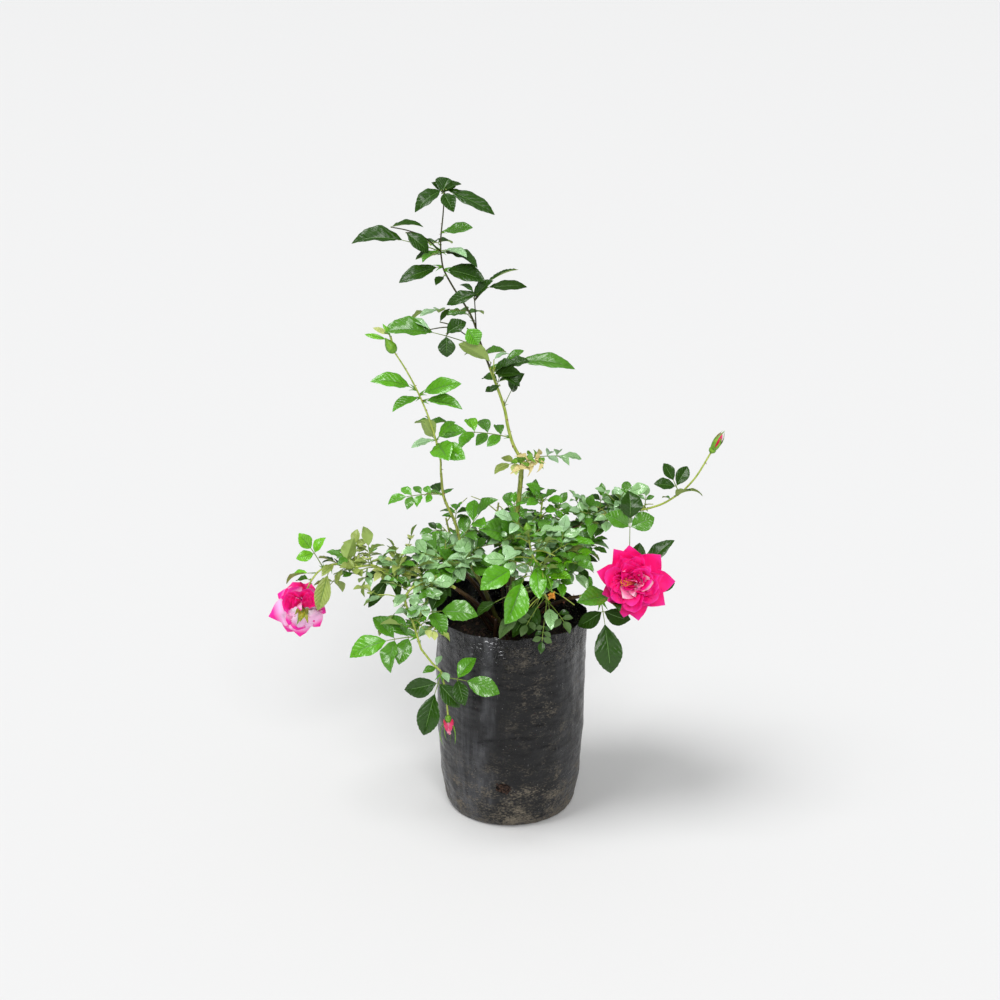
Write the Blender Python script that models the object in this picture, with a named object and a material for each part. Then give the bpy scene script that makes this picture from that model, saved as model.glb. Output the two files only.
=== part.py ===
"""Potted rose bush: a young hybrid rose standing in a black polythene nursery bag.

Sizes are millimetres here and become metres in one place, `metres`. The origin is the centre of the
bag's flat underside, +X is right, -Y is the front and +Z is up.

The plant is one short root crown at soil level, a tapering cane for each main limb, and one mass of
foliage or one flower on the end of each cane. A mass is a thin stem that carries on from its cane,
with pinnate leaves set along it. Every neighbouring pair of nodes keeps a small clearance.
"""

import math
import random
from dataclasses import dataclass, field

import bmesh
import bpy
from mathutils import Matrix, Vector
from mathutils.bvhtree import BVHTree

# ---- driving dimensions, millimetres ---------------------------------------------------------
CLEARANCE = 0.3

BAG_WALL = 1.2
BAG_MOUTH_HEIGHT = 246
BAG_SEGMENTS = 40
# (height, outside radius) up the bag: flat underside, rounded foot, belly, mouth
BAG_PROFILE = [(0, 70), (2.5, 74.5), (10, 78), (40, 84), (100, 88), (180, 89.5), (246, 90)]
# (angle in degrees, groove depth, half width in degrees): the upright folds of the film
BAG_FOLDS = [(-98, 2.6, 7), (-62, 1.4, 8), (-28, 2.0, 9), (22, 2.4, 10), (70, 1.8, 9),
             (118, 2.6, 10), (160, 2.2, 9), (186, 4.5, 9), (-140, 1.8, 9)]
# (angle in degrees, rise of the mouth, half width in degrees)
BAG_RIM_WAVES = [(124, 15, 26), (150, 5, 12), (20, -4, 20), (-40, -3, 16), (-92, -2, 10),
                 (62, 4, 16), (190, -5, 12)]
DRAIN_HOLE_RADIUS = 8
DRAIN_HOLE_HEIGHT = 56
DRAIN_HOLE_ANGLE = -95

SOIL_HEIGHT = 208
SOIL_MOUND = 4
SOIL_RINGS = [0.9, 0.6, 0.2]

CROWN_CENTRE = Vector((-3, -2, 221))
CROWN_RADIUS = 14
CROWN_FOOT_RADIUS = 19
CROWN_SIDES = 14

CANE_SIDES = 6
CANE_LEAD = 7
STEM_LEAD = 3
TWIG_SIDES = 4
RACHIS_RADIUS = 0.95
LEAFLET_WIDTH = 0.62
LEAFLET_THICKNESS = 1.3
PLAIN_LEAFLET = 27
SIDE_LEAFLET = 0.84
SIDE_LEAFLET_ANGLE = 62
LEAFLET_SPACING = 0.5
PETAL_THICKNESS = 1.2

# a leaf that would touch a neighbour is tried again a little nearer or further along this line
EASE_DIRECTION = Vector((0, 0.95, -0.31))
EASE_STEPS = (0, -7, 7, -14, 14, -21, 21)
GOLDEN_ANGLE = 137.5


@dataclass
class Cane:
    """A tapering limb that leaves the root crown and ends where its mass begins."""
    azimuth: float
    elevation: float
    points: list
    foot: float
    tip: float


@dataclass
class Leaf:
    """A pinnate leaf: where it sits along its stem, where its tip reaches, and its leaflets."""
    at: float
    tip: tuple
    pairs: int
    blade: float
    look: float
    wide: float = LEAFLET_WIDTH
    side: float = SIDE_LEAFLET
    terminal: bool = True
    ruled: bool = False


@dataclass
class Fill:
    """Leaves grown by rule round a stem, on the side that `facing` points to (degrees round Z)."""
    count: int
    reach: float
    blade: float
    facing: float
    spread: float = 150
    drop: float = -0.15
    pairs: int = 2


@dataclass
class Spray:
    """A mass of foliage: a stem carried on from the limb it grows on and the leaves along it."""
    carrier: str
    points: list
    foot: float
    tip: float
    leaves: list = field(default_factory=list)
    fill: object = None
    knobs: list = field(default_factory=list)


CANES = {
    "tall_cane": Cane(60, 80, [(3, 2, 288), (7, 5, 355), (11, 8, 396), (13, 8, 422)], 3.6, 2.7),
    "left_cane": Cane(190, 50, [(-30, -10, 274), (-47, -14, 310), (-57, -15, 334)], 2.8, 2.0),
    "left_arch_cane": Cane(200, 8, [(-47, -16, 264), (-76, -23, 290)], 2.6, 2.0),
    "drooping_cane": Cane(230, 25, [(-38, -38, 268), (-63, -60, 296)], 2.6, 2.0),
    "right_arch_cane": Cane(20, 42, [(35, 8, 290), (60, 14, 330), (83, 18, 348)], 2.8, 2.0),
    "right_front_cane": Cane(-28, 14, [(40, -24, 256), (63, -40, 274), (79, -48, 281)], 2.8, 2.1),
    "front_cane": Cane(-72, 14, [(18, -32, 249), (40, -49, 275)], 2.4, 1.8),
    "centre_cane": Cane(-105, 46, [(-3, -14, 275), (0, -18, 314)], 2.6, 1.9),
    "small_cane": Cane(60, 34, [(25, 12, 280), (34, 10, 321)], 2.2, 1.5),
    "right_centre_cane": Cane(-24, 48, [(35, -4, 269), (50, -12, 309)], 2.4, 1.7),
    "left_centre_cane": Cane(160, 26, [(-35, -2, 270), (-54, -18, 300)], 2.4, 1.7),
    "back_left_cane": Cane(135, 8, [(-34, 34, 250), (-56, 58, 270)], 2.4, 1.7),
    "back_cane": Cane(100, 26, [(-10, 44, 262), (-12, 72, 286)], 2.4, 1.7),
    "back_right_cane": Cane(48, 4, [(32, 34, 250), (58, 56, 272)], 2.4, 1.7),
}

SPRAYS = {
    "tall_cane_foliage_low": Spray(
        "tall_cane", [(3, 6, 445), (-3, 4, 466), (-7, 2, 488), (-15, 0, 513), (-24, -2, 538)], 2.4, 1.8, [
            Leaf(0.05, (83, 30, 422), 2, 24, 70),
            Leaf(0.03, (-19, -15, 420), 1, 22, 60),
            Leaf(0.29, (-83, 14, 456), 3, 27, 52),
            Leaf(0.98, (68, -15, 545), 2, 46, 62),
            Leaf(0.60, (12, -28, 536), 1, 24, 50),
            Leaf(0.79, (-28, -14, 513), 0, 13, 60),
            Leaf(0.80, (-10, 50, 520), 1, 30, 80),
        ], knobs=[(0.07, 6.0, 10)]),
    "tall_cane_foliage_mid": Spray(
        "tall_cane_foliage_low",
        [(-34, -5, 566), (-44, -5, 596), (-62, -4, 625), (-69, -3, 637)],
        1.8, 1.4, [
            Leaf(0.02, (-56, -35, 572), 0, 36, 150),
            Leaf(0.34, (-35, -42, 567), 0, 32, 28, wide=0.8),
            Leaf(0.21, (-139, -35, 590), 1, 50, 44, side=0.7),
            Leaf(0.62, (-113, 25, 590), 1, 28, 92),
            Leaf(0.59, (18, -20, 634), 2, 38, 46),
            Leaf(0.10, (-30, 55, 545), 1, 32, 80),
            Leaf(0.50, (-60, 55, 592), 1, 30, 80),
        ]),
    "tall_cane_foliage_top": Spray(
        "tall_cane_foliage_mid", [(-75, -2, 651), (-77, 0, 675), (-74, 0, 706), (-72, 0, 730)], 1.4, 0.9, [
            Leaf(0.12, (-30, -28, 642), 1, 34, 48),
            Leaf(0.16, (-121, -28, 640), 1, 38, 50),
            Leaf(0.06, (-82, -24, 634), 0, 16, 50),
            Leaf(0.32, (-52, -30, 662), 1, 28, 62),
            Leaf(0.30, (-104, -14, 661), 0, 24, 80),
            Leaf(0.33, (-171, -18, 686), 1, 50, 44),
            Leaf(0.54, (-43, -14, 696), 0, 34, 66),
            Leaf(0.98, (-19, -22, 712), 0, 50, 60, wide=0.42),
            Leaf(0.96, (-99, -22, 719), 0, 32, 40),
            Leaf(0.99, (-61, -26, 714), 0, 24, 45),
            Leaf(0.99, (-84, 12, 746), 0, 28, 34, wide=0.85),
            Leaf(0.40, (-90, 50, 668), 1, 28, 80),
        ]),
    "left_cane_foliage_low": Spray(
        "left_cane", [(-64, -15, 360), (-76, -15, 389), (-79, -15, 418)], 1.9, 1.5, [
            Leaf(0.03, (-19, -32, 394), 2, 34, 66),
            Leaf(0.71, (-140, -25, 387), 3, 22, 60),
            Leaf(0.30, (-62, 34, 366), 2, 24, 80),
            Leaf(0.55, (-90, 30, 392), 1, 24, 80),
        ]),
    "left_cane_foliage_top": Spray(
        "left_cane_foliage_low",
        [(-80, -16, 438), (-90, -18, 478), (-103, -22, 513), (-116, -25, 540), (-129, -28, 562)],
        1.5, 1.0, [
            Leaf(0.66, (-150, -40, 538), 0, 40, 50),
            Leaf(0.61, (-129, -42, 498), 0, 34, 45),
            Leaf(0.63, (-58, -38, 530), 0, 40, 50),
            Leaf(0.56, (-56, -40, 504), 0, 38, 50),
            Leaf(0.23, (-70, -58, 449), 0, 38, 38, wide=0.72),
            Leaf(0.22, (-53, -46, 446), 0, 32, 40),
            Leaf(0.27, (-101, -4, 477), 0, 28, 170, wide=0.85),
            Leaf(0.26, (-112, -24, 452), 0, 30, 70, wide=0.5),
            Leaf(0.25, (-65, -26, 482), 0, 26, 70),
            Leaf(0.35, (-92, 28, 470), 1, 26, 80),
            Leaf(0.98, (-146, -40, 578), 0, 14, 40, wide=0.3),
            Leaf(0.98, (-160, -30, 574), 0, 14, 40, wide=0.3),
        ], knobs=[(1.0, 6.5, 13)]),
    "left_arch_foliage": Spray(
        "left_arch_cane",
        [(-100, -29, 299), (-121, -33, 303), (-146, -37, 310), (-159, -38, 315), (-182, -41, 313)],
        1.7, 1.3, [
            Leaf(0.79, (-166, -25, 358), 1, 25, 130),
            Leaf(0.43, (-141, -15, 341), 2, 16, 110),
            Leaf(0.48, (-108, -20, 359), 2, 18, 104),
            Leaf(0.64, (-154, -58, 305), 1, 15, 70),
            Leaf(0.58, (-153, -18, 318), 1, 16, 120),
            Leaf(0.55, (-161, -62, 274), 1, 38, 72, wide=0.4),
            Leaf(0.52, (-113, 10, 309), 2, 24, 80),
            Leaf(0.88, (-157, 5, 321), 1, 20, 100),
        ], fill=Fill(22, 42, 24, -90, spread=180, drop=-0.25, pairs=1)),
    "left_tip_foliage": Spray(
        "left_arch_foliage",
        [(-199, -50, 321), (-214, -58, 317), (-223, -62, 308), (-231, -66, 294), (-238, -66, 276)],
        1.3, 1.1, [
            Leaf(0.41, (-234, -74, 365), 1, 26, 40),
            Leaf(0.10, (-179, -34, 347), 0, 34, 150),
            Leaf(0.10, (-197, -62, 303), 0, 22, 120),
            Leaf(0.18, (-219, -30, 323), 1, 22, 110),
            Leaf(0.23, (-211, -70, 317), 0, 18, 80),
            Leaf(0.05, (-224, -14, 262), 1, 28, 120),
            Leaf(0.51, (-256, -50, 304), 0, 26, 90),
        ]),
    "drooping_foliage_high": Spray(
        "drooping_cane",
        [(-88, -80, 309), (-108, -94, 310), (-117, -99, 297), (-111, -100, 278), (-101, -101, 242)],
        1.6, 1.3, [
            Leaf(0.72, (-38, -120, 290), 1, 39, 42),
            Leaf(0.91, (-179, -122, 243), 2, 43, 42),
            Leaf(0.61, (-149, -84, 250), 0, 28, 140, wide=0.45),
            Leaf(0.58, (-131, -82, 288), 0, 16, 120),
            Leaf(0.53, (-127, -118, 300), 0, 22, 60),
            Leaf(0.73, (-103, -92, 306), 0, 28, 60, wide=0.4),
            Leaf(0.77, (-81, -78, 303), 0, 22, 50),
        ], fill=Fill(14, 44, 25, -60, spread=180, drop=-0.2, pairs=1)),
    "drooping_foliage_low": Spray(
        "drooping_foliage_high",
        [(-87, -102, 221), (-78, -103, 212), (-76, -104, 203), (-73, -105, 188), (-71, -106, 160)],
        1.3, 1.0, [
            Leaf(0.44, (-98, -124, 143), 1, 46, 30),
            Leaf(0.50, (-13, -124, 197), 1, 38, 38),
            Leaf(0.36, (-97, -114, 218), 0, 16, 60),
            Leaf(0.34, (-78, -92, 228), 0, 16, 80),
            Leaf(0.41, (-69, -118, 209), 0, 13, 70),
        ]),
    "right_arch_foliage": Spray(
        "right_arch_cane", [(104, 20, 355), (127, 16, 361), (154, 8, 367)], 1.9, 1.4, [
            Leaf(0.11, (157, 4, 397), 2, 25, 58),
            Leaf(0.06, (62, -12, 372), 2, 20, 66),
            Leaf(0.33, (91, -20, 344), 1, 22, 50),
            Leaf(0.48, (108, -26, 352), 1, 20, 50),
            Leaf(0.05, (71, -8, 335), 1, 20, 60),
            Leaf(0.58, (110, -6, 384), 1, 22, 60),
            Leaf(0.94, (154, -14, 361), 0, 13, 60),
            Leaf(0.23, (86, 62, 366), 2, 26, 85),
            Leaf(0.72, (150, 70, 350), 2, 28, 85),
            Leaf(0.50, (118, 78, 352), 2, 28, 85),
        ]),
    "right_tip_foliage": Spray(
        "right_arch_foliage",
        [(176, 0, 377), (194, -5, 391), (200, -6, 397), (212, -8, 413), (226, -12, 441)],
        1.3, 1.0, [
            Leaf(0.44, (175, 4, 424), 1, 19, 45, side=1.2),
            Leaf(0.37, (203, -22, 401), 0, 20, 130),
            Leaf(0.48, (219, -22, 398), 0, 22, 112, wide=0.4),
            Leaf(0.33, (175, 8, 383), 0, 11, 80),
        ]),
    "right_front_foliage": Spray(
        "right_front_cane",
        [(102, -48, 277), (125, -42, 278), (140, -46, 290), (139, -54, 299)],
        2.0, 1.5, [
            Leaf(0.32, (115, -72, 195), 1, 54, 16, side=0.62),
            Leaf(0.60, (78, -84, 291), 0, 40, 55),
            Leaf(0.35, (122, -78, 280), 0, 20, 60),
            Leaf(0.65, (180, -30, 341), 0, 42, 42),
            Leaf(0.72, (148, -26, 332), 0, 30, 50),
            Leaf(0.76, (189, -36, 294), 0, 34, 55),
            Leaf(0.75, (135, -26, 400), 1, 36, 30, side=0.85, wide=0.8),
        ]),
    "front_foliage": Spray(
        "front_cane", [(35, -55, 295), (33, -57, 320), (24, -57, 334), (19, -55, 362)], 1.7, 1.0, [
            Leaf(0.67, (0, -108, 272), 0, 42, 40, wide=0.68),
            Leaf(0.62, (-31, -98, 311), 0, 34, 40, wide=0.72),
            Leaf(0.58, (33, -96, 305), 0, 32, 45),
            Leaf(0.37, (66, -78, 317), 1, 28, 56),
            Leaf(0.21, (10, -72, 257), 0, 34, 45),
            Leaf(0.16, (52, -84, 308), 1, 18, 60),
            Leaf(0.06, (33, -110, 237), 3, 14, 34),
            Leaf(0.03, (66, -98, 258), 2, 16, 40),
            Leaf(0.11, (11, -102, 255), 2, 15, 40),
        ], fill=Fill(22, 46, 25, -40, spread=130, drop=-0.35, pairs=1),
        knobs=[(1.0, 4.8, 10), (0.22, 3.4, 6)]),
    "centre_foliage": Spray(
        "centre_cane", [(2, -20, 330), (2, -22, 342)], 1.8, 1.2, [
            Leaf(0.97, (-25, -48, 366), 0, 36, 45, wide=0.75),
            Leaf(0.99, (1, -30, 376), 0, 34, 40, wide=0.7),
            Leaf(0.92, (22, -52, 340), 0, 28, 45, wide=0.7),
            Leaf(0.34, (-9, -62, 325), 1, 26, 55),
            Leaf(0.78, (5, -8, 394), 1, 16, 80),
            Leaf(0.68, (-24, 50, 325), 2, 30, 80),
        ], fill=Fill(22, 46, 25, -90, spread=160, drop=-0.1, pairs=1)),
    "side_shoot_foliage": Spray(
        "small_cane", [(34, 11, 347), (37, 10, 379)], 1.4, 0.9, [
            Leaf(0.98, (22, -4, 402), 0, 22, 40),
            Leaf(0.96, (20, -14, 382), 0, 18, 50),
            Leaf(0.97, (59, -14, 383), 0, 22, 50),
            Leaf(0.93, (54, 30, 385), 0, 18, 80),
            Leaf(0.78, (52, -6, 370), 0, 16, 50),
            Leaf(0.56, (29, -14, 361), 0, 12, 60),
            Leaf(0.59, (47, -12, 364), 0, 13, 60),
            Leaf(0.39, (22, 50, 340), 2, 24, 80),
        ], fill=Fill(10, 40, 22, -80, spread=170, drop=0, pairs=1)),
    "right_centre_foliage": Spray(
        "right_centre_cane", [(52, -15, 323), (53, -17, 332)], 1.7, 1.2, [
            Leaf(0.76, (38, -44, 362), 0, 30, 38, wide=0.8),
            Leaf(0.95, (95, -34, 343), 0, 46, 58, wide=0.5),
            Leaf(0.63, (29, -46, 329), 0, 24, 60),
            Leaf(0.69, (71, -34, 318), 0, 20, 50),
            Leaf(0.44, (59, -44, 313), 0, 20, 45),
            Leaf(0.24, (96, -34, 312), 1, 24, 72),
            Leaf(0.18, (88, -52, 293), 1, 22, 50),
            Leaf(0.05, (58, -66, 290), 1, 20, 45),
            Leaf(0.57, (106, 10, 308), 2, 26, 80),
        ], fill=Fill(22, 46, 25, -60, spread=150, drop=-0.1, pairs=1)),
    "left_centre_foliage": Spray(
        "left_centre_cane", [(-67, -22, 313), (-83, -26, 320)], 1.7, 1.2, [
            Leaf(0.13, (-14, -48, 317), 0, 34, 50, wide=0.75),
            Leaf(0.30, (-48, -26, 347), 0, 30, 45),
            Leaf(0.22, (-66, -58, 306), 0, 30, 50),
            Leaf(0.08, (-79, -44, 297), 0, 28, 80),
            Leaf(0.56, (-81, -30, 332), 0, 22, 60),
            Leaf(0.89, (-124, -44, 333), 1, 26, 55),
            Leaf(0.71, (-93, -60, 301), 1, 28, 50),
            Leaf(0.93, (-100, 10, 329), 2, 28, 80),
            Leaf(0.63, (-76, 40, 312), 2, 28, 80),
        ], fill=Fill(26, 46, 25, -110, spread=160, drop=-0.3, pairs=1)),
    "back_left_foliage": Spray(
        "back_left_cane", [(-64, 68, 286), (-72, 80, 308), (-78, 88, 330)], 1.7, 1.1,
        fill=Fill(15, 58, 32, 125, spread=140, drop=-0.5, pairs=1)),
    "back_foliage": Spray(
        "back_cane", [(-13, 82, 304), (-16, 90, 326), (-14, 98, 346)], 1.7, 1.1,
        fill=Fill(15, 58, 32, 90, spread=130, drop=-0.5, pairs=1)),
    "back_right_foliage": Spray(
        "back_right_cane", [(66, 66, 288), (74, 78, 308), (80, 88, 328)], 1.7, 1.1,
        fill=Fill(15, 58, 32, 45, spread=140, drop=-0.5, pairs=1)),
}

# what carries each flower
FLOWER_CARRIERS = {
    "left_bloom": "left_tip_foliage",
    "right_bloom": "right_front_foliage",
    "low_bud": "drooping_foliage_low",
    "right_bud": "right_tip_foliage",
}
FLOWER_STALK_RADIUS = 1.2
# heart, then petal tips of the outer and the inner ring: the right flower faces front, and the left
# one nods away and shows its back
BLOOMS = {
    "right_bloom": (Vector((138, -63, 305)),
                    [(134, -62, 349), (114, -64, 345), (97, -66, 320), (101, -64, 290), (132, -66, 266),
                     (149, -66, 267), (176, -64, 284), (185, -62, 313), (169, -60, 341)],
                    [(128, -82, 334), (110, -80, 318), (116, -82, 294), (138, -84, 284), (158, -82, 296),
                     (160, -80, 320), (146, -82, 332)]),
    "left_bloom": (Vector((-237, -52, 267)),
                   [(-268, -42, 270), (-258, -30, 294), (-238, -28, 300), (-214, -38, 290),
                    (-208, -44, 264), (-216, -42, 242), (-236, -38, 232), (-258, -40, 246)],
                   [(-254, -18, 266), (-238, -16, 284), (-222, -20, 266), (-238, -20, 248)]),
}
# length and radius of each closed bud
BUDS = {"low_bud": (22, 6.5), "right_bud": (24, 6.8)}

COLOURS = {
    "bag": (0.035, 0.035, 0.038), "soil": (0.05, 0.032, 0.02), "bark": (0.16, 0.13, 0.05),
    "cane": (0.28, 0.36, 0.07), "leaf": (0.06, 0.24, 0.03), "bloom": (0.85, 0.02, 0.2),
}
ROUGHNESS = {"bag": 0.4, "soil": 0.95, "bark": 0.7, "cane": 0.5, "leaf": 0.4, "bloom": 0.5}


# ---- curves and sections -----------------------------------------------------------------------
def metres(point):
    """A point or length in millimetres as metres."""
    return point * 0.001


def smooth_path(points, steps):
    """Points along a Catmull-Rom curve through the given points, `steps` to each span."""
    knots = [Vector(p) for p in points]
    knots = [2 * knots[0] - knots[1]] + knots + [2 * knots[-1] - knots[-2]]
    path = []
    for a, b, c, d in zip(knots, knots[1:], knots[2:], knots[3:]):
        for step in range(steps):
            t = step / steps
            path.append(0.5 * (2 * b + (c - a) * t + (2 * a - 5 * b + 4 * c - d) * t ** 2
                               + (3 * b - a - 3 * c + d) * t ** 3))
    path.append(knots[-2])
    return path


def point_along(path, share):
    """The point and the direction at a share of a path's length."""
    lengths = [(b - a).length for a, b in zip(path, path[1:])]
    left = share * sum(lengths)
    for a, b, length in zip(path, path[1:], lengths):
        if left <= length:
            return a.lerp(b, left / length), (b - a).normalized()
        left -= length
    return path[-1].copy(), (path[-1] - path[-2]).normalized()


def square_to(vector, along):
    """The part of a vector square to a direction, as a unit vector."""
    part = vector - vector.dot(along) * along
    if part.length < 1e-4:
        part = along.orthogonal()
    return part.normalized()


def tube(path, radii, sides):
    """A closed tube of round sections along a path, as vertices and faces."""
    verts = []
    faces = []
    side = (path[1] - path[0]).normalized().orthogonal().normalized()
    for index, (centre, radius) in enumerate(zip(path, radii)):
        ahead = path[min(index + 1, len(path) - 1)]
        behind = path[max(index - 1, 0)]
        along = (ahead - behind).normalized()
        side = square_to(side, along)
        other = along.cross(side)
        for turn in range(sides):
            angle = math.tau * turn / sides
            verts.append(centre + radius * (math.cos(angle) * side + math.sin(angle) * other))
    for ring in range(len(path) - 1):
        for turn in range(sides):
            low = ring * sides + turn
            beside = ring * sides + (turn + 1) % sides
            faces.append((low, beside, beside + sides, low + sides))
    faces.append(tuple(reversed(range(sides))))
    faces.append(tuple(range((len(path) - 1) * sides, len(path) * sides)))
    return verts, faces


def taper(foot, tip, count):
    """Radii falling evenly from foot to tip."""
    return [foot + (tip - foot) * index / (count - 1) for index in range(count)]


def lozenge(centre, along, radius, length):
    """A closed six-sided bud or hip on a stem."""
    steps = [(-0.5, 0.3), (-0.25, 0.9), (0.05, 1.0), (0.3, 0.7), (0.5, 0.15)]
    path = [centre + along * length * share for share, _ in steps]
    return tube(path, [radius * wide for _, wide in steps], 6)


# ---- leaves and petals -------------------------------------------------------------------------
def look_normal(look):
    """The way a blade faces: 0 is front, 90 is up and 180 is back."""
    angle = math.radians(look)
    return Vector((0, -math.cos(angle), math.sin(angle)))


def blade_fan(verts, faces, near, far, under, root, tip, up, width, grow):
    """Draws a blade out of an edge of a solid: its outline, and a raised point above and below it.

    `near` and `far` are the vertices that its outline starts and ends at, and `under` the vertices that
    its lower side runs round between them.
    """
    along = (tip - root).normalized()
    length = (tip - root).length
    up = square_to(up, along)
    across = along.cross(up)
    if (verts[near] - verts[far]).dot(across) < 0:
        across = -across
    shoulders = [(0.26, 0.88), (0.62, 0.86)] if length > PLAIN_LEAFLET else [(0.42, 1.0)]
    half = width / 2 + grow
    outline = [near]
    for hand, rows in ((1, shoulders), (0, [(1 + grow / length, 0)]), (-1, list(reversed(shoulders)))):
        for share, wide in rows:
            outline.append(len(verts))
            verts.append(root + along * length * share + across * half * wide * hand)
    outline.append(far)
    middle = root + along * length * 0.44 - up * width * 0.1
    for lift, loop in ((1, outline), (-1, outline + under)):
        centre = len(verts)
        verts.append(middle + up * lift * (LEAFLET_THICKNESS / 2 + grow))
        for a, b in zip(loop, loop[1:] + loop[:1]):
            faces.append((a, b, centre))


def leaf_stations(leaf, blade, rachis):
    """Shares of the rachis where its sections stand, and which spans carry a pair of leaflets."""
    width = max(1.4, 0.06 * blade) / rachis
    shares = []
    for pair in range(leaf.pairs):
        back = (pair + 0.62) * LEAFLET_SPACING * blade / rachis
        shares.append(1 - min(back, 0.9 * (pair + 0.62) / leaf.pairs))
    stations = [0.0]
    pair_spans = []
    for share in reversed(shares):
        pair_spans.append(len(stations))
        stations += [share - width / 2, share + width / 2]
    if len(stations) == 1:
        stations.append(0.5)
    stations.append(1.0)
    return stations, pair_spans


def leaf_solid(leaf, base, tip, grow=0.0, slim=1.0):
    """A leaf as one closed solid: a three-sided rachis with leaflets drawn out of its sides and end.

    `slim` narrows the side leaflets, so that none of them meets its neighbour.
    """
    reach = (tip - base).length
    blade = min(leaf.blade, 0.82 * reach)
    ends = 1 - blade / reach if leaf.terminal else 1
    bend = base.lerp(tip, 0.5) + Vector((0, 0, 0.10 * reach))
    normal = look_normal(leaf.look)
    stations, pair_spans = leaf_stations(leaf, blade, ends * reach)
    verts = []
    faces = []
    centres = []
    for share in stations:
        t = share * ends
        centre = base * (1 - t) ** 2 + bend * 2 * t * (1 - t) + tip * t ** 2
        along = ((bend - base) * (1 - t) + (tip - bend) * t).normalized()
        up = square_to(normal, along)
        side = along.cross(up)
        radius = RACHIS_RADIUS * (1 - 0.3 * share) + grow
        centres.append((centre, along))
        verts += [centre + side * radius + up * radius * 0.5, centre - side * radius + up * radius * 0.5,
                  centre - up * radius]
    faces.append((0, 1, 2))
    for span in range(len(stations) - 1):
        one = span * 3
        two = one + 3
        faces.append((one, one + 1, two + 1, two))
        if span not in pair_spans:
            faces.append((one + 1, one + 2, two + 2, two + 1))
            faces.append((one + 2, one, two, two + 2))
            continue
        centre = (centres[span][0] + centres[span + 1][0]) / 2
        along = centres[span][1]
        up = square_to(normal, along)
        rank = len(pair_spans) - 1 - pair_spans.index(span)
        length = blade * leaf.side * (1 - 0.1 * rank)
        for corner, hand in ((0, -1), (1, 1)):
            turn = Matrix.Rotation(math.radians(hand * SIDE_LEAFLET_ANGLE), 3, up)
            end = centre + (turn @ along) * length
            blade_fan(verts, faces, one + corner, two + corner, [two + 2, one + 2], centre, end, normal,
                      leaf.wide * length * slim, grow)
    last = 3 * (len(stations) - 1)
    if leaf.terminal:
        blade_fan(verts, faces, last, last + 1, [last + 2], centres[-1][0], tip, normal,
                  leaf.wide * blade, grow)
    else:
        faces.append((last, last + 1, last + 2))
    return verts, faces


def meets_itself(verts, faces):
    """Whether two faces of a solid that share no corner cross."""
    tree = BVHTree.FromPolygons(verts, faces)
    return any(not set(faces[a]) & set(faces[b]) for a, b in tree.overlap(tree))


def clean_leaf(leaf, base, tip):
    """The widest form of a leaf whose leaflets don't meet, or None."""
    for slim in (1.0, 0.9, 0.8, 0.7, 0.6, 0.5):
        verts, faces = leaf_solid(leaf, base, tip, slim=slim)
        if not meets_itself(verts, faces):
            return slim
    return None


def sepal(base, tip, up, width):
    """A closed narrow blade: four points round its edge, raised above and below its midrib."""
    along = (tip - base).normalized()
    up = square_to(up, along)
    side = along.cross(up) * width / 2
    middle = base.lerp(tip, 0.42)
    lift = up * LEAFLET_THICKNESS / 2
    verts = [base, middle + side, tip, middle - side, middle + lift, middle - lift]
    faces = []
    for index in range(4):
        after = (index + 1) % 4
        faces += [(index, after, 4), (after, index, 5)]
    return verts, faces


def petal(base, tip, width, cup):
    """A closed curved petal; `cup` bows its middle away from the straight line to its tip."""
    along = (tip - base).normalized()
    length = (tip - base).length
    bow = square_to(cup, along)
    side = along.cross(bow)
    rows = [(0.0, 0.16, 0.0), (0.62, 0.5, 0.16), (1.0, 0.12, 0.0)]
    verts = []
    for lift in (PETAL_THICKNESS / 2, -PETAL_THICKNESS / 2):
        for share, half, rise in rows:
            for hand in (-1, 0, 1):
                depth = rise * length - (0.12 * width if hand == 0 else 0) * half * 2
                verts.append(base + along * length * share + side * hand * half * width
                             + bow * (depth + lift))
    faces = []
    for row in range(2):
        for column in range(2):
            a = row * 3 + column
            faces.append((a, a + 1, a + 4, a + 3))
            faces.append((a + 9, a + 12, a + 13, a + 10))
    rim = [0, 1, 2, 5, 8, 7, 6, 3]
    for a, b in zip(rim, rim[1:] + rim[:1]):
        faces.append((b, a, a + 9, b + 9))
    return verts, faces


# ---- meshes ------------------------------------------------------------------------------------
def mesh_object(name, parts, collection):
    """One object from closed parts, faces outward."""
    build = bmesh.new()
    for verts, faces in parts:
        made = [build.verts.new(metres(vert)) for vert in verts]
        for face in faces:
            build.faces.new([made[index] for index in face])
    bmesh.ops.recalc_face_normals(build, faces=build.faces)
    mesh = bpy.data.meshes.new(name)
    build.to_mesh(mesh)
    build.free()
    thing = bpy.data.objects.new(name, mesh)
    collection.objects.link(thing)
    return thing


def tree_of(parts):
    """A search tree of parts in millimetres."""
    verts = []
    faces = []
    for part_verts, part_faces in parts:
        offset = len(verts)
        verts += part_verts
        faces += [tuple(index + offset for index in face) for face in part_faces]
    return BVHTree.FromPolygons(verts, faces)


def apply_modifiers(thing):
    """Bakes an object's modifiers into its mesh."""
    graph = bpy.context.evaluated_depsgraph_get()
    mesh = bpy.data.meshes.new_from_object(thing.evaluated_get(graph))
    thing.modifiers.clear()
    thing.data = mesh


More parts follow.
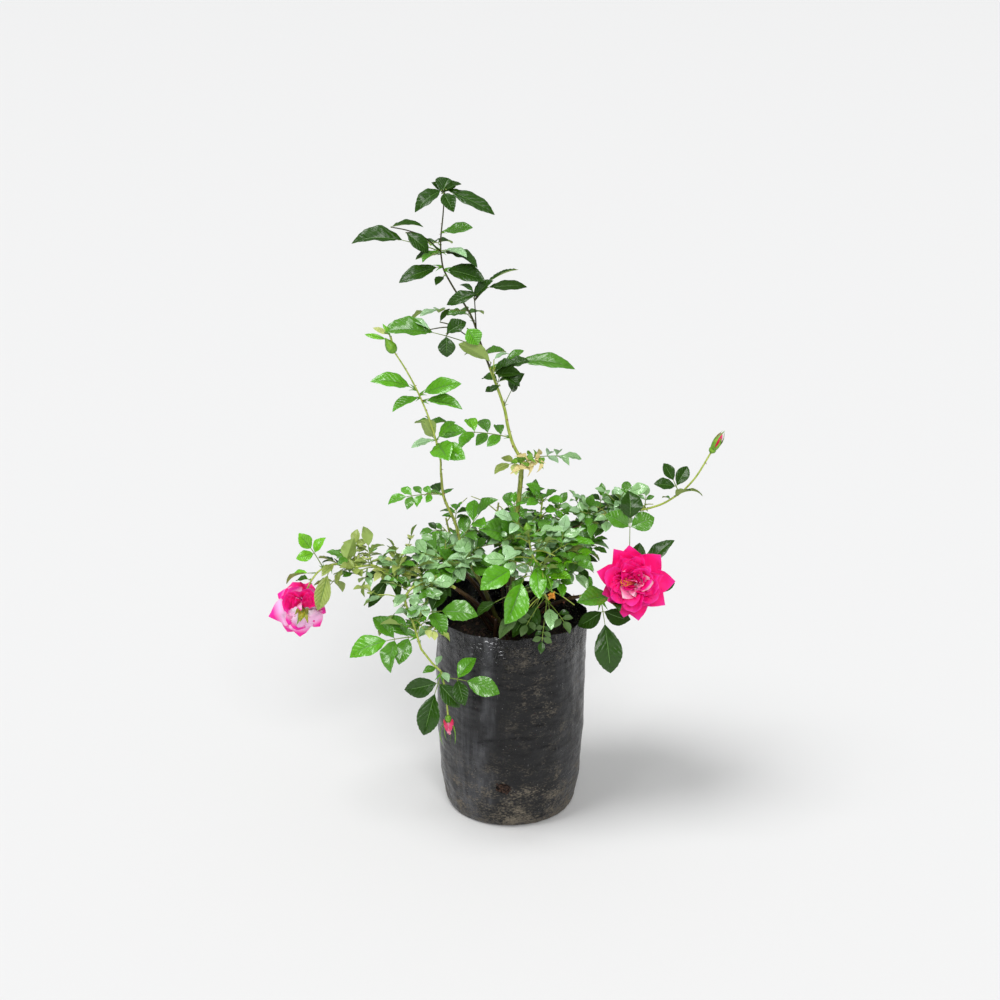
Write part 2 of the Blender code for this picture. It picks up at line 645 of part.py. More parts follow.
def tidy_mesh(thing):
    """Keeps only the largest closed piece of a union."""
    build = bmesh.new()
    build.from_mesh(thing.data)
    bmesh.ops.triangulate(build, faces=build.faces)
    left = set(build.verts)
    shells = []
    while left:
        shell = {left.pop()}
        front = list(shell)
        while front:
            vert = front.pop()
            for edge in vert.link_edges:
                other = edge.other_vert(vert)
                if other in left:
                    left.remove(other)
                    shell.add(other)
                    front.append(other)
        shells.append(shell)
    shells.sort(key=len)
    scraps = [vert for shell in shells[:-1] for vert in shell]
    bmesh.ops.delete(build, geom=scraps, context="VERTS")
    bmesh.ops.recalc_face_normals(build, faces=build.faces)
    build.to_mesh(thing.data)
    build.free()


def join_parts(name, parts, collection):
    """One closed solid: the first part united with all the others."""
    thing = mesh_object(name, parts[:1], collection)
    others = bpy.data.collections.new(name + "_parts")
    bpy.context.scene.collection.children.link(others)
    for index, part in enumerate(parts[1:]):
        mesh_object(f"{name}_part_{index}", [part], others)
    union = thing.modifiers.new("union", "BOOLEAN")
    union.operation = "UNION"
    union.operand_type = "COLLECTION"
    union.collection = others
    union.solver = "MANIFOLD"
    apply_modifiers(thing)
    for piece in list(others.objects):
        bpy.data.objects.remove(piece, do_unlink=True)
    bpy.data.collections.remove(others)
    tidy_mesh(thing)
    return thing


def dress(thing, kind, smooth):
    """Gives an object its own material and its shading."""
    material = bpy.data.materials.new(f"{thing.name}_{kind}")
    material.use_nodes = True
    shader = material.node_tree.nodes["Principled BSDF"]
    shader.inputs["Base Color"].default_value = (*COLOURS[kind], 1)
    shader.inputs["Roughness"].default_value = ROUGHNESS[kind]
    material.diffuse_color = (*COLOURS[kind], 1)
    thing.data.materials.clear()
    thing.data.materials.append(material)
    for face in thing.data.polygons:
        face.use_smooth = smooth
        face.material_index = 0


# ---- bag, soil and crown -----------------------------------------------------------------------
def bump(angle, middle, half_width):
    """A smooth rise round an angle, one at its middle."""
    away = (angle - middle + 180) % 360 - 180
    return math.exp(-(away / half_width) ** 2)


def rim_height(angle):
    """Height of the bag's uneven mouth at an angle."""
    return BAG_MOUTH_HEIGHT + sum(rise * bump(angle, at, wide) for at, rise, wide in BAG_RIM_WAVES)


def bag_radius(angle, height):
    """Outside radius of the bag at an angle and height, folds included."""
    radius = BAG_PROFILE[-1][1]
    for (low, r_low), (high, r_high) in zip(BAG_PROFILE, BAG_PROFILE[1:]):
        if height <= high:
            radius = r_low + (r_high - r_low) * max(0, height - low) / (high - low)
            break
    rise = min(1, max(0, height - 8) / BAG_MOUTH_HEIGHT)
    return radius - rise * sum(depth * bump(angle, at, wide) for at, depth, wide in BAG_FOLDS)


def bag_ring(height, inset, level=None):
    """A ring of points round the bag; `inset` moves it inward and `level` sets its real height."""
    ring = []
    for turn in range(BAG_SEGMENTS):
        angle = 360 * turn / BAG_SEGMENTS
        stretch = rim_height(angle) / BAG_MOUTH_HEIGHT if height > BAG_MOUTH_HEIGHT / 2 else 1
        radius = bag_radius(angle, height) - inset
        tall = height * stretch if level is None else level
        turned = math.radians(angle)
        ring.append(Vector((radius * math.cos(turned), radius * math.sin(turned), tall)))
    return ring


def lathe(rings):
    """A closed solid through rings of equal count, with flat caps on its first and last."""
    count = len(rings[0])
    verts = [vert for ring in rings for vert in ring]
    faces = []
    for row in range(len(rings) - 1):
        for turn in range(count):
            low = row * count + turn
            beside = row * count + (turn + 1) % count
            faces.append((low, beside, beside + count, low + count))
    faces.append(tuple(reversed(range(count))))
    faces.append(tuple(range((len(rings) - 1) * count, len(rings) * count)))
    return verts, faces


def bag_parts():
    """The film bag: outside up to the mouth, over the rim, and down the inside to its floor."""
    heights = [height for height, _ in BAG_PROFILE]
    rings = [bag_ring(height, 0) for height in heights]
    rings += [bag_ring(height, BAG_WALL) for height in reversed(heights[2:])]
    rings.append(bag_ring(heights[1], BAG_WALL, level=BAG_WALL + 2))
    return lathe(rings)


def soil_parts():
    """Compost that fills the bag, with a low mound in its middle and an uneven top."""
    gap = BAG_WALL + 2 * CLEARANCE
    rings = [bag_ring(2.5, gap + 1, level=BAG_WALL + 2 + CLEARANCE)]
    for height in (10, 40, 100):
        rings.append(bag_ring(height, gap))
    rim = bag_ring(SOIL_HEIGHT, gap, level=SOIL_HEIGHT - 2)
    rings.append(rim)
    for index, share in enumerate(SOIL_RINGS):
        ring = []
        for turn, point in enumerate(rim):
            lump = 2.2 * math.sin(turn * 1.9 + index * 2.3) + 1.4 * math.sin(turn * 0.7 + index)
            level = SOIL_HEIGHT + SOIL_MOUND * (1 - share) + lump * min(1, 2 * max(0, share - 0.2))
            ring.append(Vector((point.x * share, point.y * share, level)))
        rings.append(ring)
    return lathe(rings)


def crown_parts():
    """The root crown: a flared foot cut flat at the soil and a knob that the canes leave."""
    foot = SOIL_HEIGHT + SOIL_MOUND * (1 - SOIL_RINGS[-1]) + CLEARANCE
    sections = [(Vector((0, 0, foot)), CROWN_FOOT_RADIUS)]
    sections.append((Vector((-0.6, -0.4, foot + 2.5)), CROWN_FOOT_RADIUS - 4))
    for rise in range(-20, 90, 20):
        angle = math.radians(rise)
        middle = CROWN_CENTRE + Vector((0, 0, CROWN_RADIUS * math.sin(angle)))
        sections.append((middle, CROWN_RADIUS * math.cos(angle)))
    rings = []
    for middle, radius in sections:
        turns = [math.tau * turn / CROWN_SIDES for turn in range(CROWN_SIDES)]
        rings.append([middle + radius * Vector((math.cos(turn), math.sin(turn), 0)) for turn in turns])
    return lathe(rings)


def cut_drain_hole(bag, cutters):
    """A round hole through the bag's wall low at the front."""
    angle = math.radians(DRAIN_HOLE_ANGLE)
    out = Vector((math.cos(angle), math.sin(angle), 0))
    wall = BAG_PROFILE[3][1]
    ends = [out * (wall + step) + Vector((0, 0, DRAIN_HOLE_HEIGHT)) for step in (-6, 16)]
    cutter = mesh_object("drain_hole_cutter", [tube(ends, [DRAIN_HOLE_RADIUS] * 2, 20)], cutters)
    cutter.hide_render = True
    cutter.display_type = "WIRE"
    cut = bag.modifiers.new("drain hole", "BOOLEAN")
    cut.operation = "DIFFERENCE"
    cut.solver = "EXACT"
    cut.object = cutter
    apply_modifiers(bag)
    bpy.data.objects.remove(cutter, do_unlink=True)


# ---- canes, sprays and flowers -----------------------------------------------------------------
def carried_path(points, carrier):
    """A path that starts a clearance beyond the end of the path that carries it, in line with it."""
    along = (carrier[-1] - carrier[-2]).normalized()
    start = carrier[-1] + along * (CLEARANCE + 0.1)
    lead = [start + along * STEM_LEAD]
    return [start] + (smooth_path(lead + points, 2) if points else lead)


def cane_path(cane):
    """The path of a cane from the crown's knob through its own points."""
    azimuth = math.radians(cane.azimuth)
    elevation = math.radians(cane.elevation)
    out = Vector((math.cos(azimuth) * math.cos(elevation), math.sin(azimuth) * math.cos(elevation),
                  math.sin(elevation)))
    foot = CROWN_CENTRE + out * (CROWN_RADIUS + CLEARANCE + 0.1)
    return [foot] + smooth_path([foot + out * CANE_LEAD] + cane.points, 2)


def rule_leaves(name, spray, path):
    """Leaves set round a stem by the golden angle, each drawn with its own seed."""
    rule = spray.fill
    if rule is None:
        return []
    leaves = []
    for index in range(rule.count):
        draw = random.Random(f"{name}-{index}")
        share = 0.08 + 0.9 * index / max(1, rule.count - 1)
        turn = (index * GOLDEN_ANGLE % 360) / 360 - 0.5
        azimuth = math.radians(rule.facing + rule.spread * 2 * turn)
        rise = rule.drop + draw.uniform(-0.35, 0.75) + 0.5 * share
        out = Vector((math.cos(azimuth), math.sin(azimuth), rise)).normalized()
        base, _ = point_along(path, share)
        tip = base + out * rule.reach * draw.uniform(0.75, 1.1)
        look = 90 + draw.uniform(-25, 25)
        blade = rule.blade * draw.uniform(0.85, 1.1)
        leaves.append(Leaf(share, tuple(tip), rule.pairs, blade, look, ruled=True))
    return leaves


def place_leaf(leaf, base, leaves, taken):
    """The leaf as a solid, at the first place along the ease line that is clear, or None."""
    for step in EASE_STEPS:
        tip = Vector(leaf.tip) + EASE_DIRECTION * step
        slim = clean_leaf(leaf, base, tip)
        if slim is None:
            continue
        trial = tree_of([leaf_solid(leaf, base, tip, CLEARANCE + 0.1, slim)])
        clear = not any(trial.overlap(tree) for tree in taken)
        if clear and leaf.ruled and leaves:
            clear = not trial.overlap(tree_of(leaves))
        if clear:
            return leaf_solid(leaf, base, tip, 0, slim)
    return None


def spray_parts(name, spray, path, taken):
    """The stem, leaves and buds of a mass; a leaf with no clear place is left out."""
    parts = [tube(path, taper(spray.foot, spray.tip, len(path)), TWIG_SIDES)]
    leaves = []
    for share, radius, length in spray.knobs:
        centre, along = point_along(path, share)
        if share >= 1:
            centre = centre + along * length * 0.4
        parts.append(lozenge(centre, along, radius, length))
    for leaf in spray.leaves + rule_leaves(name, spray, path):
        base, _ = point_along(path, leaf.at)
        solid = place_leaf(leaf, base, leaves, taken)
        if solid:
            leaves.append(solid)
    return parts + leaves


def bud_parts(path, length, radius):
    """A flower bud on its stalk, with narrow sepals standing off its sides."""
    along = (path[-1] - path[-2]).normalized()
    parts = [tube(path, taper(FLOWER_STALK_RADIUS, FLOWER_STALK_RADIUS, len(path)), TWIG_SIDES)]
    parts.append(lozenge(path[-1] + along * length * 0.45, along, radius, length))
    side = along.orthogonal().normalized()
    for turn in range(3):
        out = Matrix.Rotation(math.tau * turn / 3 + 0.6, 3, along) @ side
        tip = path[-1] + along * length * 0.75 + out * radius * 1.9
        parts.append(sepal(path[-1] + along * 0.5, tip, out, 3.2))
    return parts


def bloom_parts(path, heart, outer, inner):
    """An open flower: a round heart on its stalk with two rings of petals."""
    parts = [tube(path + [heart], taper(FLOWER_STALK_RADIUS, 3.2, len(path) + 1), TWIG_SIDES)]
    face = sum((Vector(tip) for tip in inner), Vector()) / len(inner) - heart
    face.normalize()
    parts.append(lozenge(heart + face * 2, face, 8.5, 18))
    for ring, tips in enumerate((outer, inner)):
        for tip in tips:
            end = Vector(tip)
            base = heart + face * 3 * ring + (end - heart).normalized() * 2
            width = (0.82 - 0.06 * ring) * (end - base).length
            cup = face * (0.6 if ring else -0.3) + (end - heart).normalized() * 0.1
            parts.append(petal(base, end, width, cup))
    return parts


def main():
    """Builds every node of the potted rose."""
    for thing in list(bpy.data.objects):
        bpy.data.objects.remove(thing, do_unlink=True)
    plant = bpy.data.collections.new("potted_rose_bush")
    cutters = bpy.data.collections.new("cutters")
    bpy.context.scene.collection.children.link(plant)
    bpy.context.scene.collection.children.link(cutters)

    bag = mesh_object("nursery_bag", [bag_parts()], plant)
    cut_drain_hole(bag, cutters)
    dress(bag, "bag", True)
    soil = soil_parts()
    dress(mesh_object("soil", [soil], plant), "soil", True)
    crown = crown_parts()
    dress(mesh_object("root_crown", [crown], plant), "bark", True)

    taken = [tree_of([bag_parts()]), tree_of([soil]), tree_of([crown])]
    paths = {}
    for name, cane in CANES.items():
        paths[name] = cane_path(cane)
        limb = tube(paths[name], taper(cane.foot, cane.tip, len(paths[name])), CANE_SIDES)
        dress(mesh_object(name, [limb], plant), "cane", True)
        taken.append(tree_of([limb]))
    stems = {}
    for name, spray in SPRAYS.items():
        paths[name] = carried_path(spray.points, paths[spray.carrier])
        radii = taper(spray.foot, spray.tip, len(paths[name]))
        stems[name] = tree_of([tube(paths[name], radii, TWIG_SIDES)])
    for name, carrier in FLOWER_CARRIERS.items():
        paths[name] = carried_path([], paths[carrier])

    flowers = {name: bloom_parts(paths[name], *bloom) for name, bloom in BLOOMS.items()}
    flowers.update({name: bud_parts(paths[name], *bud) for name, bud in BUDS.items()})
    for name, parts in flowers.items():
        dress(join_parts(name, parts, plant), "bloom", True)
        taken.append(tree_of(parts))

    for name, spray in SPRAYS.items():
        del stems[name]
        parts = spray_parts(name, spray, paths[name], taken + list(stems.values()))
        taken.append(tree_of(parts))
        dress(join_parts(name, parts, plant), "leaf", False)


main()
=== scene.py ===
"""A young potted rose bush: arching canes, pinnate leaves and pink flowers in a black film nursery bag."""

import logging
import math
import random
from collections.abc import Callable
from dataclasses import dataclass, field
from enum import Enum

import bmesh
import bpy
import numpy as np
from mathutils import Matrix, Vector, noise
from mathutils.bvhtree import BVHTree


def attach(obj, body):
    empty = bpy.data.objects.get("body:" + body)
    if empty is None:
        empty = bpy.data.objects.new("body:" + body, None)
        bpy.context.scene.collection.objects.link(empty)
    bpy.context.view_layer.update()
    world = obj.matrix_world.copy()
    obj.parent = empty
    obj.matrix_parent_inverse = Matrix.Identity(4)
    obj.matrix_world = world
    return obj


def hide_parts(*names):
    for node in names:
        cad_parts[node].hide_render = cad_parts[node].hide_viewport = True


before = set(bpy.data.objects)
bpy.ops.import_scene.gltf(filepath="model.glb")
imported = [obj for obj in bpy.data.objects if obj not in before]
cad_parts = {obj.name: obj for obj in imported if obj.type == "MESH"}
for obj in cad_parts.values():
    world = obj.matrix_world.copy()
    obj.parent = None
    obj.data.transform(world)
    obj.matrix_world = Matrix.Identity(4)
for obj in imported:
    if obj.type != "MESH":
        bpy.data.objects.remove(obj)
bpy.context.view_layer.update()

log = logging.getLogger("rose")

MM = 0.001

# ---- growth rule, the same as the solids' -----------------------------------------------------
CLEARANCE = 0.3
CROWN_CENTRE = Vector((-3, -2, 221))
CROWN_RADIUS = 14
CANE_LEAD = 7
STEM_LEAD = 3
LEAFLET_WIDTH = 0.62
LEAFLET_THICKNESS = 1.3
SIDE_LEAFLET = 0.84
SIDE_LEAFLET_ANGLE = 62
LEAFLET_SPACING = 0.5
RACHIS_RADIUS = 0.95
EASE_DIRECTION = Vector((0, 0.95, -0.31))
EASE_STEPS = (0, -7, 7, -14, 14, -21, 21)
GOLDEN_ANGLE = 137.5
# how near a leaf must come to its solid to count as the same leaf
SAME_LEAF = 1.6


@dataclass(frozen=True)
class Cane:
    """A limb from the root crown: the way it leaves, the points it passes and its radii, mm."""

    azimuth: float
    elevation: float
    points: list
    foot: float
    tip: float


@dataclass(frozen=True)
class Leaf:
    """A pinnate leaf, in mm and degrees.

    It says how far along its stem it sits, where its tip reaches, its pairs of side leaflets, its end
    leaflet's length, the way it faces (0 front, 90 up) and its tint. A leaf on a stalk of its own has
    a start, and a fork that the stalk passes. Its side leaflets are shorter than the end one.
    """

    at: float
    tip: tuple
    pairs: int
    blade: float
    look: float
    tint: str
    wide: float = LEAFLET_WIDTH
    start: tuple | None = None
    fork: tuple | None = None
    side: float = SIDE_LEAFLET
    ruled: bool = False


@dataclass(frozen=True)
class Fill:
    """Leaves grown by rule round a stem, with the tints that they draw from."""

    count: int
    reach: float
    blade: float
    facing: float
    tints: str
    spread: float
    drop: float
    pairs: int = 1


@dataclass(frozen=True)
class Spray:
    """A mass of foliage: what carries it, its stem's points and radii, its leaves' rows and its buds."""

    carrier: str
    points: list
    foot: float
    tip: float
    leaves: list = field(default_factory=list)
    fill: Fill | None = None
    knobs: list = field(default_factory=list)


CANES: dict[str, Cane] = {
    "tall_cane": Cane(60, 80, [(3, 2, 288), (7, 5, 355), (11, 8, 396), (13, 8, 422)], 3.6, 2.7),
    "left_cane": Cane(190, 50, [(-30, -10, 274), (-47, -14, 310), (-57, -15, 334)], 2.8, 2.0),
    "left_arch_cane": Cane(200, 8, [(-47, -16, 264), (-76, -23, 290)], 2.6, 2.0),
    "drooping_cane": Cane(230, 25, [(-38, -38, 268), (-63, -60, 296)], 2.6, 2.0),
    "right_arch_cane": Cane(20, 42, [(35, 8, 290), (60, 14, 330), (83, 18, 348)], 2.8, 2.0),
    "right_front_cane": Cane(-28, 14, [(40, -24, 256), (63, -40, 274), (79, -48, 281)], 2.8, 2.1),
    "front_cane": Cane(-72, 14, [(18, -32, 249), (40, -49, 275)], 2.4, 1.8),
    "centre_cane": Cane(-105, 46, [(-3, -14, 275), (0, -18, 314)], 2.6, 1.9),
    "small_cane": Cane(60, 34, [(25, 12, 280), (34, 10, 321)], 2.2, 1.5),
    "right_centre_cane": Cane(-24, 48, [(35, -4, 269), (50, -12, 309)], 2.4, 1.7),
    "left_centre_cane": Cane(160, 26, [(-35, -2, 270), (-54, -18, 300)], 2.4, 1.7),
    "back_left_cane": Cane(135, 8, [(-34, 34, 250), (-56, 58, 270)], 2.4, 1.7),
    "back_cane": Cane(100, 26, [(-10, 44, 262), (-12, 72, 286)], 2.4, 1.7),
    "back_right_cane": Cane(48, 4, [(32, 34, 250), (58, 56, 272)], 2.4, 1.7),
}

SPRAYS: dict[str, Spray] = {
    "tall_cane_foliage_low": Spray(
        "tall_cane",
        [(3, 6, 445), (-3, 4, 466), (-7, 2, 488), (-15, 0, 513), (-24, -2, 538)],
        2.4, 1.8, [
            (0.05, (83, 30, 422), 2, 24, 76, "b"), (0.03, (-19, -15, 420), 1, 22, 60, "o"),
            (0.29, (-83, 14, 456), 3, 33, 62, "f"), (0.98, (70, -15, 547), 0, 56, 58, "m", 0.36),
            (0.6, (12, -28, 536), 0, 30, 50, "d", 0.7), (0.79, (-28, -14, 513), 0, 13, 60, "d"),
            (0.93, (4, -30, 552), 0, 28, 60, "d", 0.6, (-19, -24, 537), (-19, -14, 538)),
            (0.93, (10, -34, 539), 0, 30, 50, "k", 0.6, (-19, -26, 535), (-19, -14, 538)),
            (0.93, (20, -26, 551), 0, 28, 55, "d", 0.6, (-7, -24, 544), (-19, -14, 538)),
            (0.93, (10, -36, 526), 0, 27, 56, "d", 0.6, (-14, -26, 538), (-19, -14, 538)),
            (0.95, (-3, -12, 558), 0, 19, 70, "g", 0.6, (-19, -16, 549), (-19, -14, 538)),
            (0.95, (13, -14, 561), 0, 24, 60, "m", 0.5, (-6, -16, 547), (-19, -14, 538)),
            (0.8, (-24, -26, 516), 0, 14, 60, "d", 0.7, (-12, -22, 521)),
            (0.8, (-10, 50, 520), 1, 30, 80, "d"),
        ], knobs=[(0.07, 6.0, 10)]),
    "tall_cane_foliage_mid": Spray(
        "tall_cane_foliage_low",
        [(-34, -5, 566), (-44, -5, 596), (-62, -4, 625), (-69, -3, 637)],
        1.8, 1.4, [
            (0.0, (-57, -38, 575), 0, 44, 150, "o", 0.5, (-22, -30, 549)),
            (0.34, (-36, -40, 571), 0, 27, 28, "f", 1.05, (-48, -34, 588)),
            (0.21, (-139, -35, 590), 0, 52, 44, "m", 0.5),
            (0.21, (-50, -28, 595), 0, 29, 55, "d", 0.8, (-71, -30, 581), (-62, -18, 586)),
            (0.21, (-70, -38, 557), 0, 29, 40, "d", 0.9, (-71, -32, 579), (-62, -18, 586)),
            (0.21, (-113, -14, 597), 0, 34, 80, "g", 0.42, (-89, -26, 585), (-62, -18, 586)),
            (0.21, (-68, -10, 606), 0, 20, 75, "k", 0.45, (-78, -20, 592), (-62, -18, 586)),
            (0.62, (-113, 25, 590), 1, 28, 92, "g"),
            (0.42, (17, -24, 634), 0, 46, 50, "k", 0.36, (-26, -20, 630), (-40, -12, 614)),
            (0.42, (6, -10, 652), 0, 38, 72, "d", 0.3, (-27, -16, 634), (-40, -12, 614)),
            (0.42, (-21, -22, 639), 0, 30, 45, "d", 0.6, (-41, -16, 618), (-40, -12, 614)),
            (0.42, (-70, -26, 615), 0, 36, 55, "d", 0.48, (-36, -18, 623), (-40, -12, 614)),
            (0.42, (-54, -10, 634), 0, 17, 60, "m", 0.6, (-41, -10, 623), (-40, -12, 614)),
            (0.1, (-30, 55, 545), 1, 32, 80, "d"), (0.5, (-60, 55, 592), 1, 30, 80, "d"),
        ]),
    "tall_cane_foliage_top": Spray(
        "tall_cane_foliage_mid",
        [(-75, -2, 651), (-77, 0, 675), (-74, 0, 706), (-72, 0, 730)],
        1.4, 0.9, [
            (0.12, (-30, -28, 642), 0, 42, 48, "d", 0.52),
            (0.16, (-121, -28, 640), 0, 42, 54, "d", 0.42), (0.06, (-82, -24, 634), 0, 16, 50, "d"),
            (0.32, (-36, -28, 661), 0, 40, 72, "d", 0.5), (0.32, (-96, -30, 662), 0, 30, 66, "m", 0.5),
            (0.34, (-48, -30, 667), 0, 32, 78, "g", 0.5), (0.33, (-84, -28, 671), 0, 24, 74, "g", 0.6),
            (0.3, (-104, -14, 661), 0, 24, 80, "d"), (0.33, (-171, -18, 686), 0, 50, 44, "d", 0.5),
            (0.33, (-95, -10, 699), 0, 36, 66, "d", 0.42, (-130, -16, 695), (-98, -10, 686)),
            (0.33, (-88, -20, 670), 0, 32, 50, "d", 0.6, (-114, -16, 689), (-98, -10, 686)),
            (0.54, (-43, -14, 696), 0, 34, 56, "m", 0.5),
            (0.99, (-17, -24, 712), 0, 56, 62, "d", 0.36, (-71, -6, 734)),
            (0.99, (-103, -26, 718), 0, 34, 52, "d", 0.55, (-75, -6, 733)),
            (0.99, (-62, -28, 714), 0, 26, 45, "d", 0.7, (-73, -8, 730)),
            (0.99, (-68, 8, 745), 0, 30, 46, "d", 1.2, (-75, -4, 729)),
            (0.99, (-55, -10, 742), 0, 26, 50, "k", 0.6, (-74, -2, 731)),
            (0.99, (-86, 2, 741), 0, 22, 50, "k", 0.8, (-73, -2, 730)),
            (0.4, (-90, 50, 668), 1, 28, 80, "d"),
        ]),
    "left_cane_foliage_low": Spray(
        "left_cane", [(-64, -15, 360), (-76, -15, 389), (-79, -15, 418)], 1.9, 1.5, [
            (0.03, (-19, -32, 394), 2, 34, 66, "m"), (0.71, (-140, -25, 387), 3, 22, 60, "f"),
            (0.3, (-62, 34, 366), 2, 24, 80, "m"), (0.55, (-90, 30, 392), 1, 24, 80, "m"),
        ]),
    "left_cane_foliage_top": Spray(
        "left_cane_foliage_low",
        [(-80, -16, 438), (-90, -18, 478), (-103, -22, 513), (-116, -25, 540), (-129, -28, 562)],
        1.5, 1.0, [
            (0.66, (-150, -40, 536), 0, 40, 58, "f", 0.5),
            (0.6, (-131, -42, 500), 0, 34, 55, "f", 0.52),
            (0.62, (-58, -38, 529), 0, 40, 56, "f", 0.5),
            (0.57, (-55, -40, 504), 0, 38, 56, "f", 0.48),
            (0.23, (-70, -58, 449), 0, 38, 38, "f", 0.72), (0.22, (-53, -46, 446), 0, 32, 40, "f"),
            (0.27, (-101, -4, 477), 0, 28, 170, "o", 0.85),
            (0.26, (-112, -24, 452), 0, 30, 70, "g", 0.5), (0.25, (-65, -26, 482), 0, 26, 70, "f"),
            (0.35, (-92, 28, 470), 1, 26, 80, "m"),
            (0.99, (-150, -34, 589), 0, 17, 40, "p", 0.36, (-133, -30, 580)),
            (0.99, (-160, -30, 581), 0, 22, 40, "y", 0.26, (-135, -30, 574)),
            (0.99, (-140, -30, 592), 0, 14, 40, "y", 0.3, (-131, -30, 578)),
        ], knobs=[(1.0, 6.5, 17)]),
    "left_arch_foliage": Spray(
        "left_arch_cane",
        [(-100, -29, 299), (-121, -33, 303), (-146, -37, 310), (-159, -38, 315), (-182, -41, 313)],
        1.7, 1.3, [
            (0.79, (-166, -25, 358), 1, 25, 130, "o"), (0.43, (-141, -15, 341), 2, 16, 110, "o"),
            (0.48, (-108, -20, 359), 2, 18, 104, "p"), (0.64, (-154, -58, 305), 1, 15, 70, "p"),
            (0.58, (-153, -18, 318), 1, 16, 120, "o"), (0.55, (-161, -62, 274), 1, 38, 72, "k", 0.4),
            (0.52, (-113, 10, 309), 2, 24, 80, "m"), (0.88, (-157, 5, 321), 1, 20, 100, "m"),
        ], fill=Fill(22, 42, 24, -90, "boomo", 180, -0.25)),
    "left_tip_foliage": Spray(
        "left_arch_foliage",
        [(-199, -50, 321), (-214, -58, 317), (-223, -62, 308), (-230, -56, 294), (-237, -48, 278)],
        1.3, 1.1, [
            (0.41, (-234, -74, 365), 1, 26, 40, "y"), (0.1, (-179, -34, 347), 0, 34, 150, "o"),
            (0.1, (-197, -62, 303), 0, 22, 120, "o"), (0.18, (-219, -30, 323), 1, 22, 110, "k"),
            (0.23, (-211, -70, 317), 0, 18, 80, "o"), (0.05, (-224, -14, 262), 1, 28, 120, "m"),
            (0.51, (-256, -50, 304), 0, 26, 90, "y"), (0.3, (-217, -74, 274), 0, 36, 30, "o", 0.5),
            (0.62, (-244, -46, 300), 0, 18, 60, "m"),
        ]),
    "drooping_foliage_high": Spray(
        "drooping_cane",
        [(-88, -80, 309), (-108, -94, 310), (-117, -99, 297), (-111, -100, 278), (-101, -101, 242)],
        1.6, 1.3, [
            (0.72, (-38, -120, 290), 1, 40, 42, "m", 0.68), (0.91, (-179, -122, 243), 2, 43, 42, "m"),
            (0.61, (-149, -84, 250), 0, 28, 140, "o", 0.45), (0.58, (-131, -82, 288), 0, 16, 120, "p"),
            (0.53, (-127, -118, 300), 0, 22, 60, "b"), (0.73, (-103, -92, 306), 0, 28, 60, "k", 0.4),
            (0.77, (-81, -78, 303), 0, 22, 50, "b"), (0.55, (-62, -90, 318), 1, 26, 50, "b"),
        ], fill=Fill(14, 44, 25, -60, "bmbkm", 180, -0.2)),
    "drooping_foliage_low": Spray(
        "drooping_foliage_high",
        [(-87, -102, 221), (-78, -103, 212), (-76, -104, 203), (-73, -105, 188), (-71, -106, 160)],
        1.3, 1.0, [
            (0.44, (-98, -124, 143), 1, 46, 30, "m"), (0.5, (-13, -124, 197), 1, 38, 38, "m"),
            (0.36, (-97, -114, 218), 0, 16, 60, "m"), (0.34, (-78, -92, 228), 0, 16, 80, "g"),
            (0.41, (-69, -118, 209), 0, 13, 70, "g"),
        ]),
    "right_arch_foliage": Spray(
        "right_arch_cane", [(104, 20, 355), (127, 16, 361), (154, 8, 367)], 1.9, 1.4, [
            (0.11, (157, 4, 397), 2, 25, 58, "b"), (0.06, (62, -12, 372), 2, 20, 66, "b"),
            (0.33, (91, -20, 344), 1, 22, 50, "m"), (0.48, (108, -26, 352), 1, 20, 50, "b"),
            (0.05, (71, -8, 335), 1, 20, 60, "m"), (0.58, (110, -6, 384), 1, 22, 60, "b"),
            (0.94, (154, -14, 361), 0, 13, 60, "m"), (0.23, (86, 62, 366), 2, 26, 85, "m"),
            (0.72, (150, 70, 350), 2, 28, 85, "d"), (0.5, (118, 78, 352), 2, 28, 85, "d"),
        ]),
    "right_tip_foliage": Spray(
        "right_arch_foliage",
        [(176, 0, 377), (194, -5, 391), (200, -6, 397), (212, -8, 413), (226, -12, 441)],
        1.3, 1.0, [
            (0.44, (175, 4, 424), 1, 24, 48, "d", LEAFLET_WIDTH, None, None, 1.2),
            (0.37, (203, -22, 401), 0, 25, 130, "d"), (0.48, (219, -22, 398), 0, 30, 112, "o", 0.4),
            (0.33, (175, 8, 383), 0, 11, 80, "m"),
        ]),
    "right_front_foliage": Spray(
        "right_front_cane",
        [(102, -48, 277), (125, -42, 278), (140, -46, 290), (139, -54, 299)],
        2.0, 1.5, [
            (0.32, (115, -72, 195), 1, 54, 16, "k", LEAFLET_WIDTH, None, None, 0.62),
            (0.6, (76, -80, 288), 0, 40, 50, "m"), (0.35, (122, -78, 280), 0, 20, 60, "d"),
            (0.65, (184, -30, 345), 0, 46, 52, "d", 0.4), (0.72, (148, -26, 338), 0, 30, 50, "d"),
            (0.76, (189, -36, 294), 0, 34, 55, "d"),
            (0.75, (135, -26, 400), 1, 36, 30, "m", 0.8, None, None, 0.85),
        ]),
    "front_foliage": Spray(
        "front_cane", [(35, -55, 295), (33, -57, 320), (24, -57, 334), (19, -55, 362)], 1.7, 1.0, [
            (0.67, (-4, -108, 272), 0, 42, 40, "f", 0.72),
            (0.62, (-33, -98, 311), 0, 36, 40, "f", 0.78), (0.6, (31, -98, 300), 0, 36, 58, "f", 0.5),
            (0.37, (66, -78, 317), 1, 28, 56, "f"), (0.21, (19, -84, 250), 0, 30, 38, "k"),
            (0.16, (2, -86, 248), 0, 30, 30, "k", 0.5), (0.2, (-14, -92, 250), 0, 32, 36, "s", 0.5),
            (0.05, (46, -92, 262), 0, 24, 44, "b"), (0.16, (52, -84, 308), 1, 18, 60, "b"),
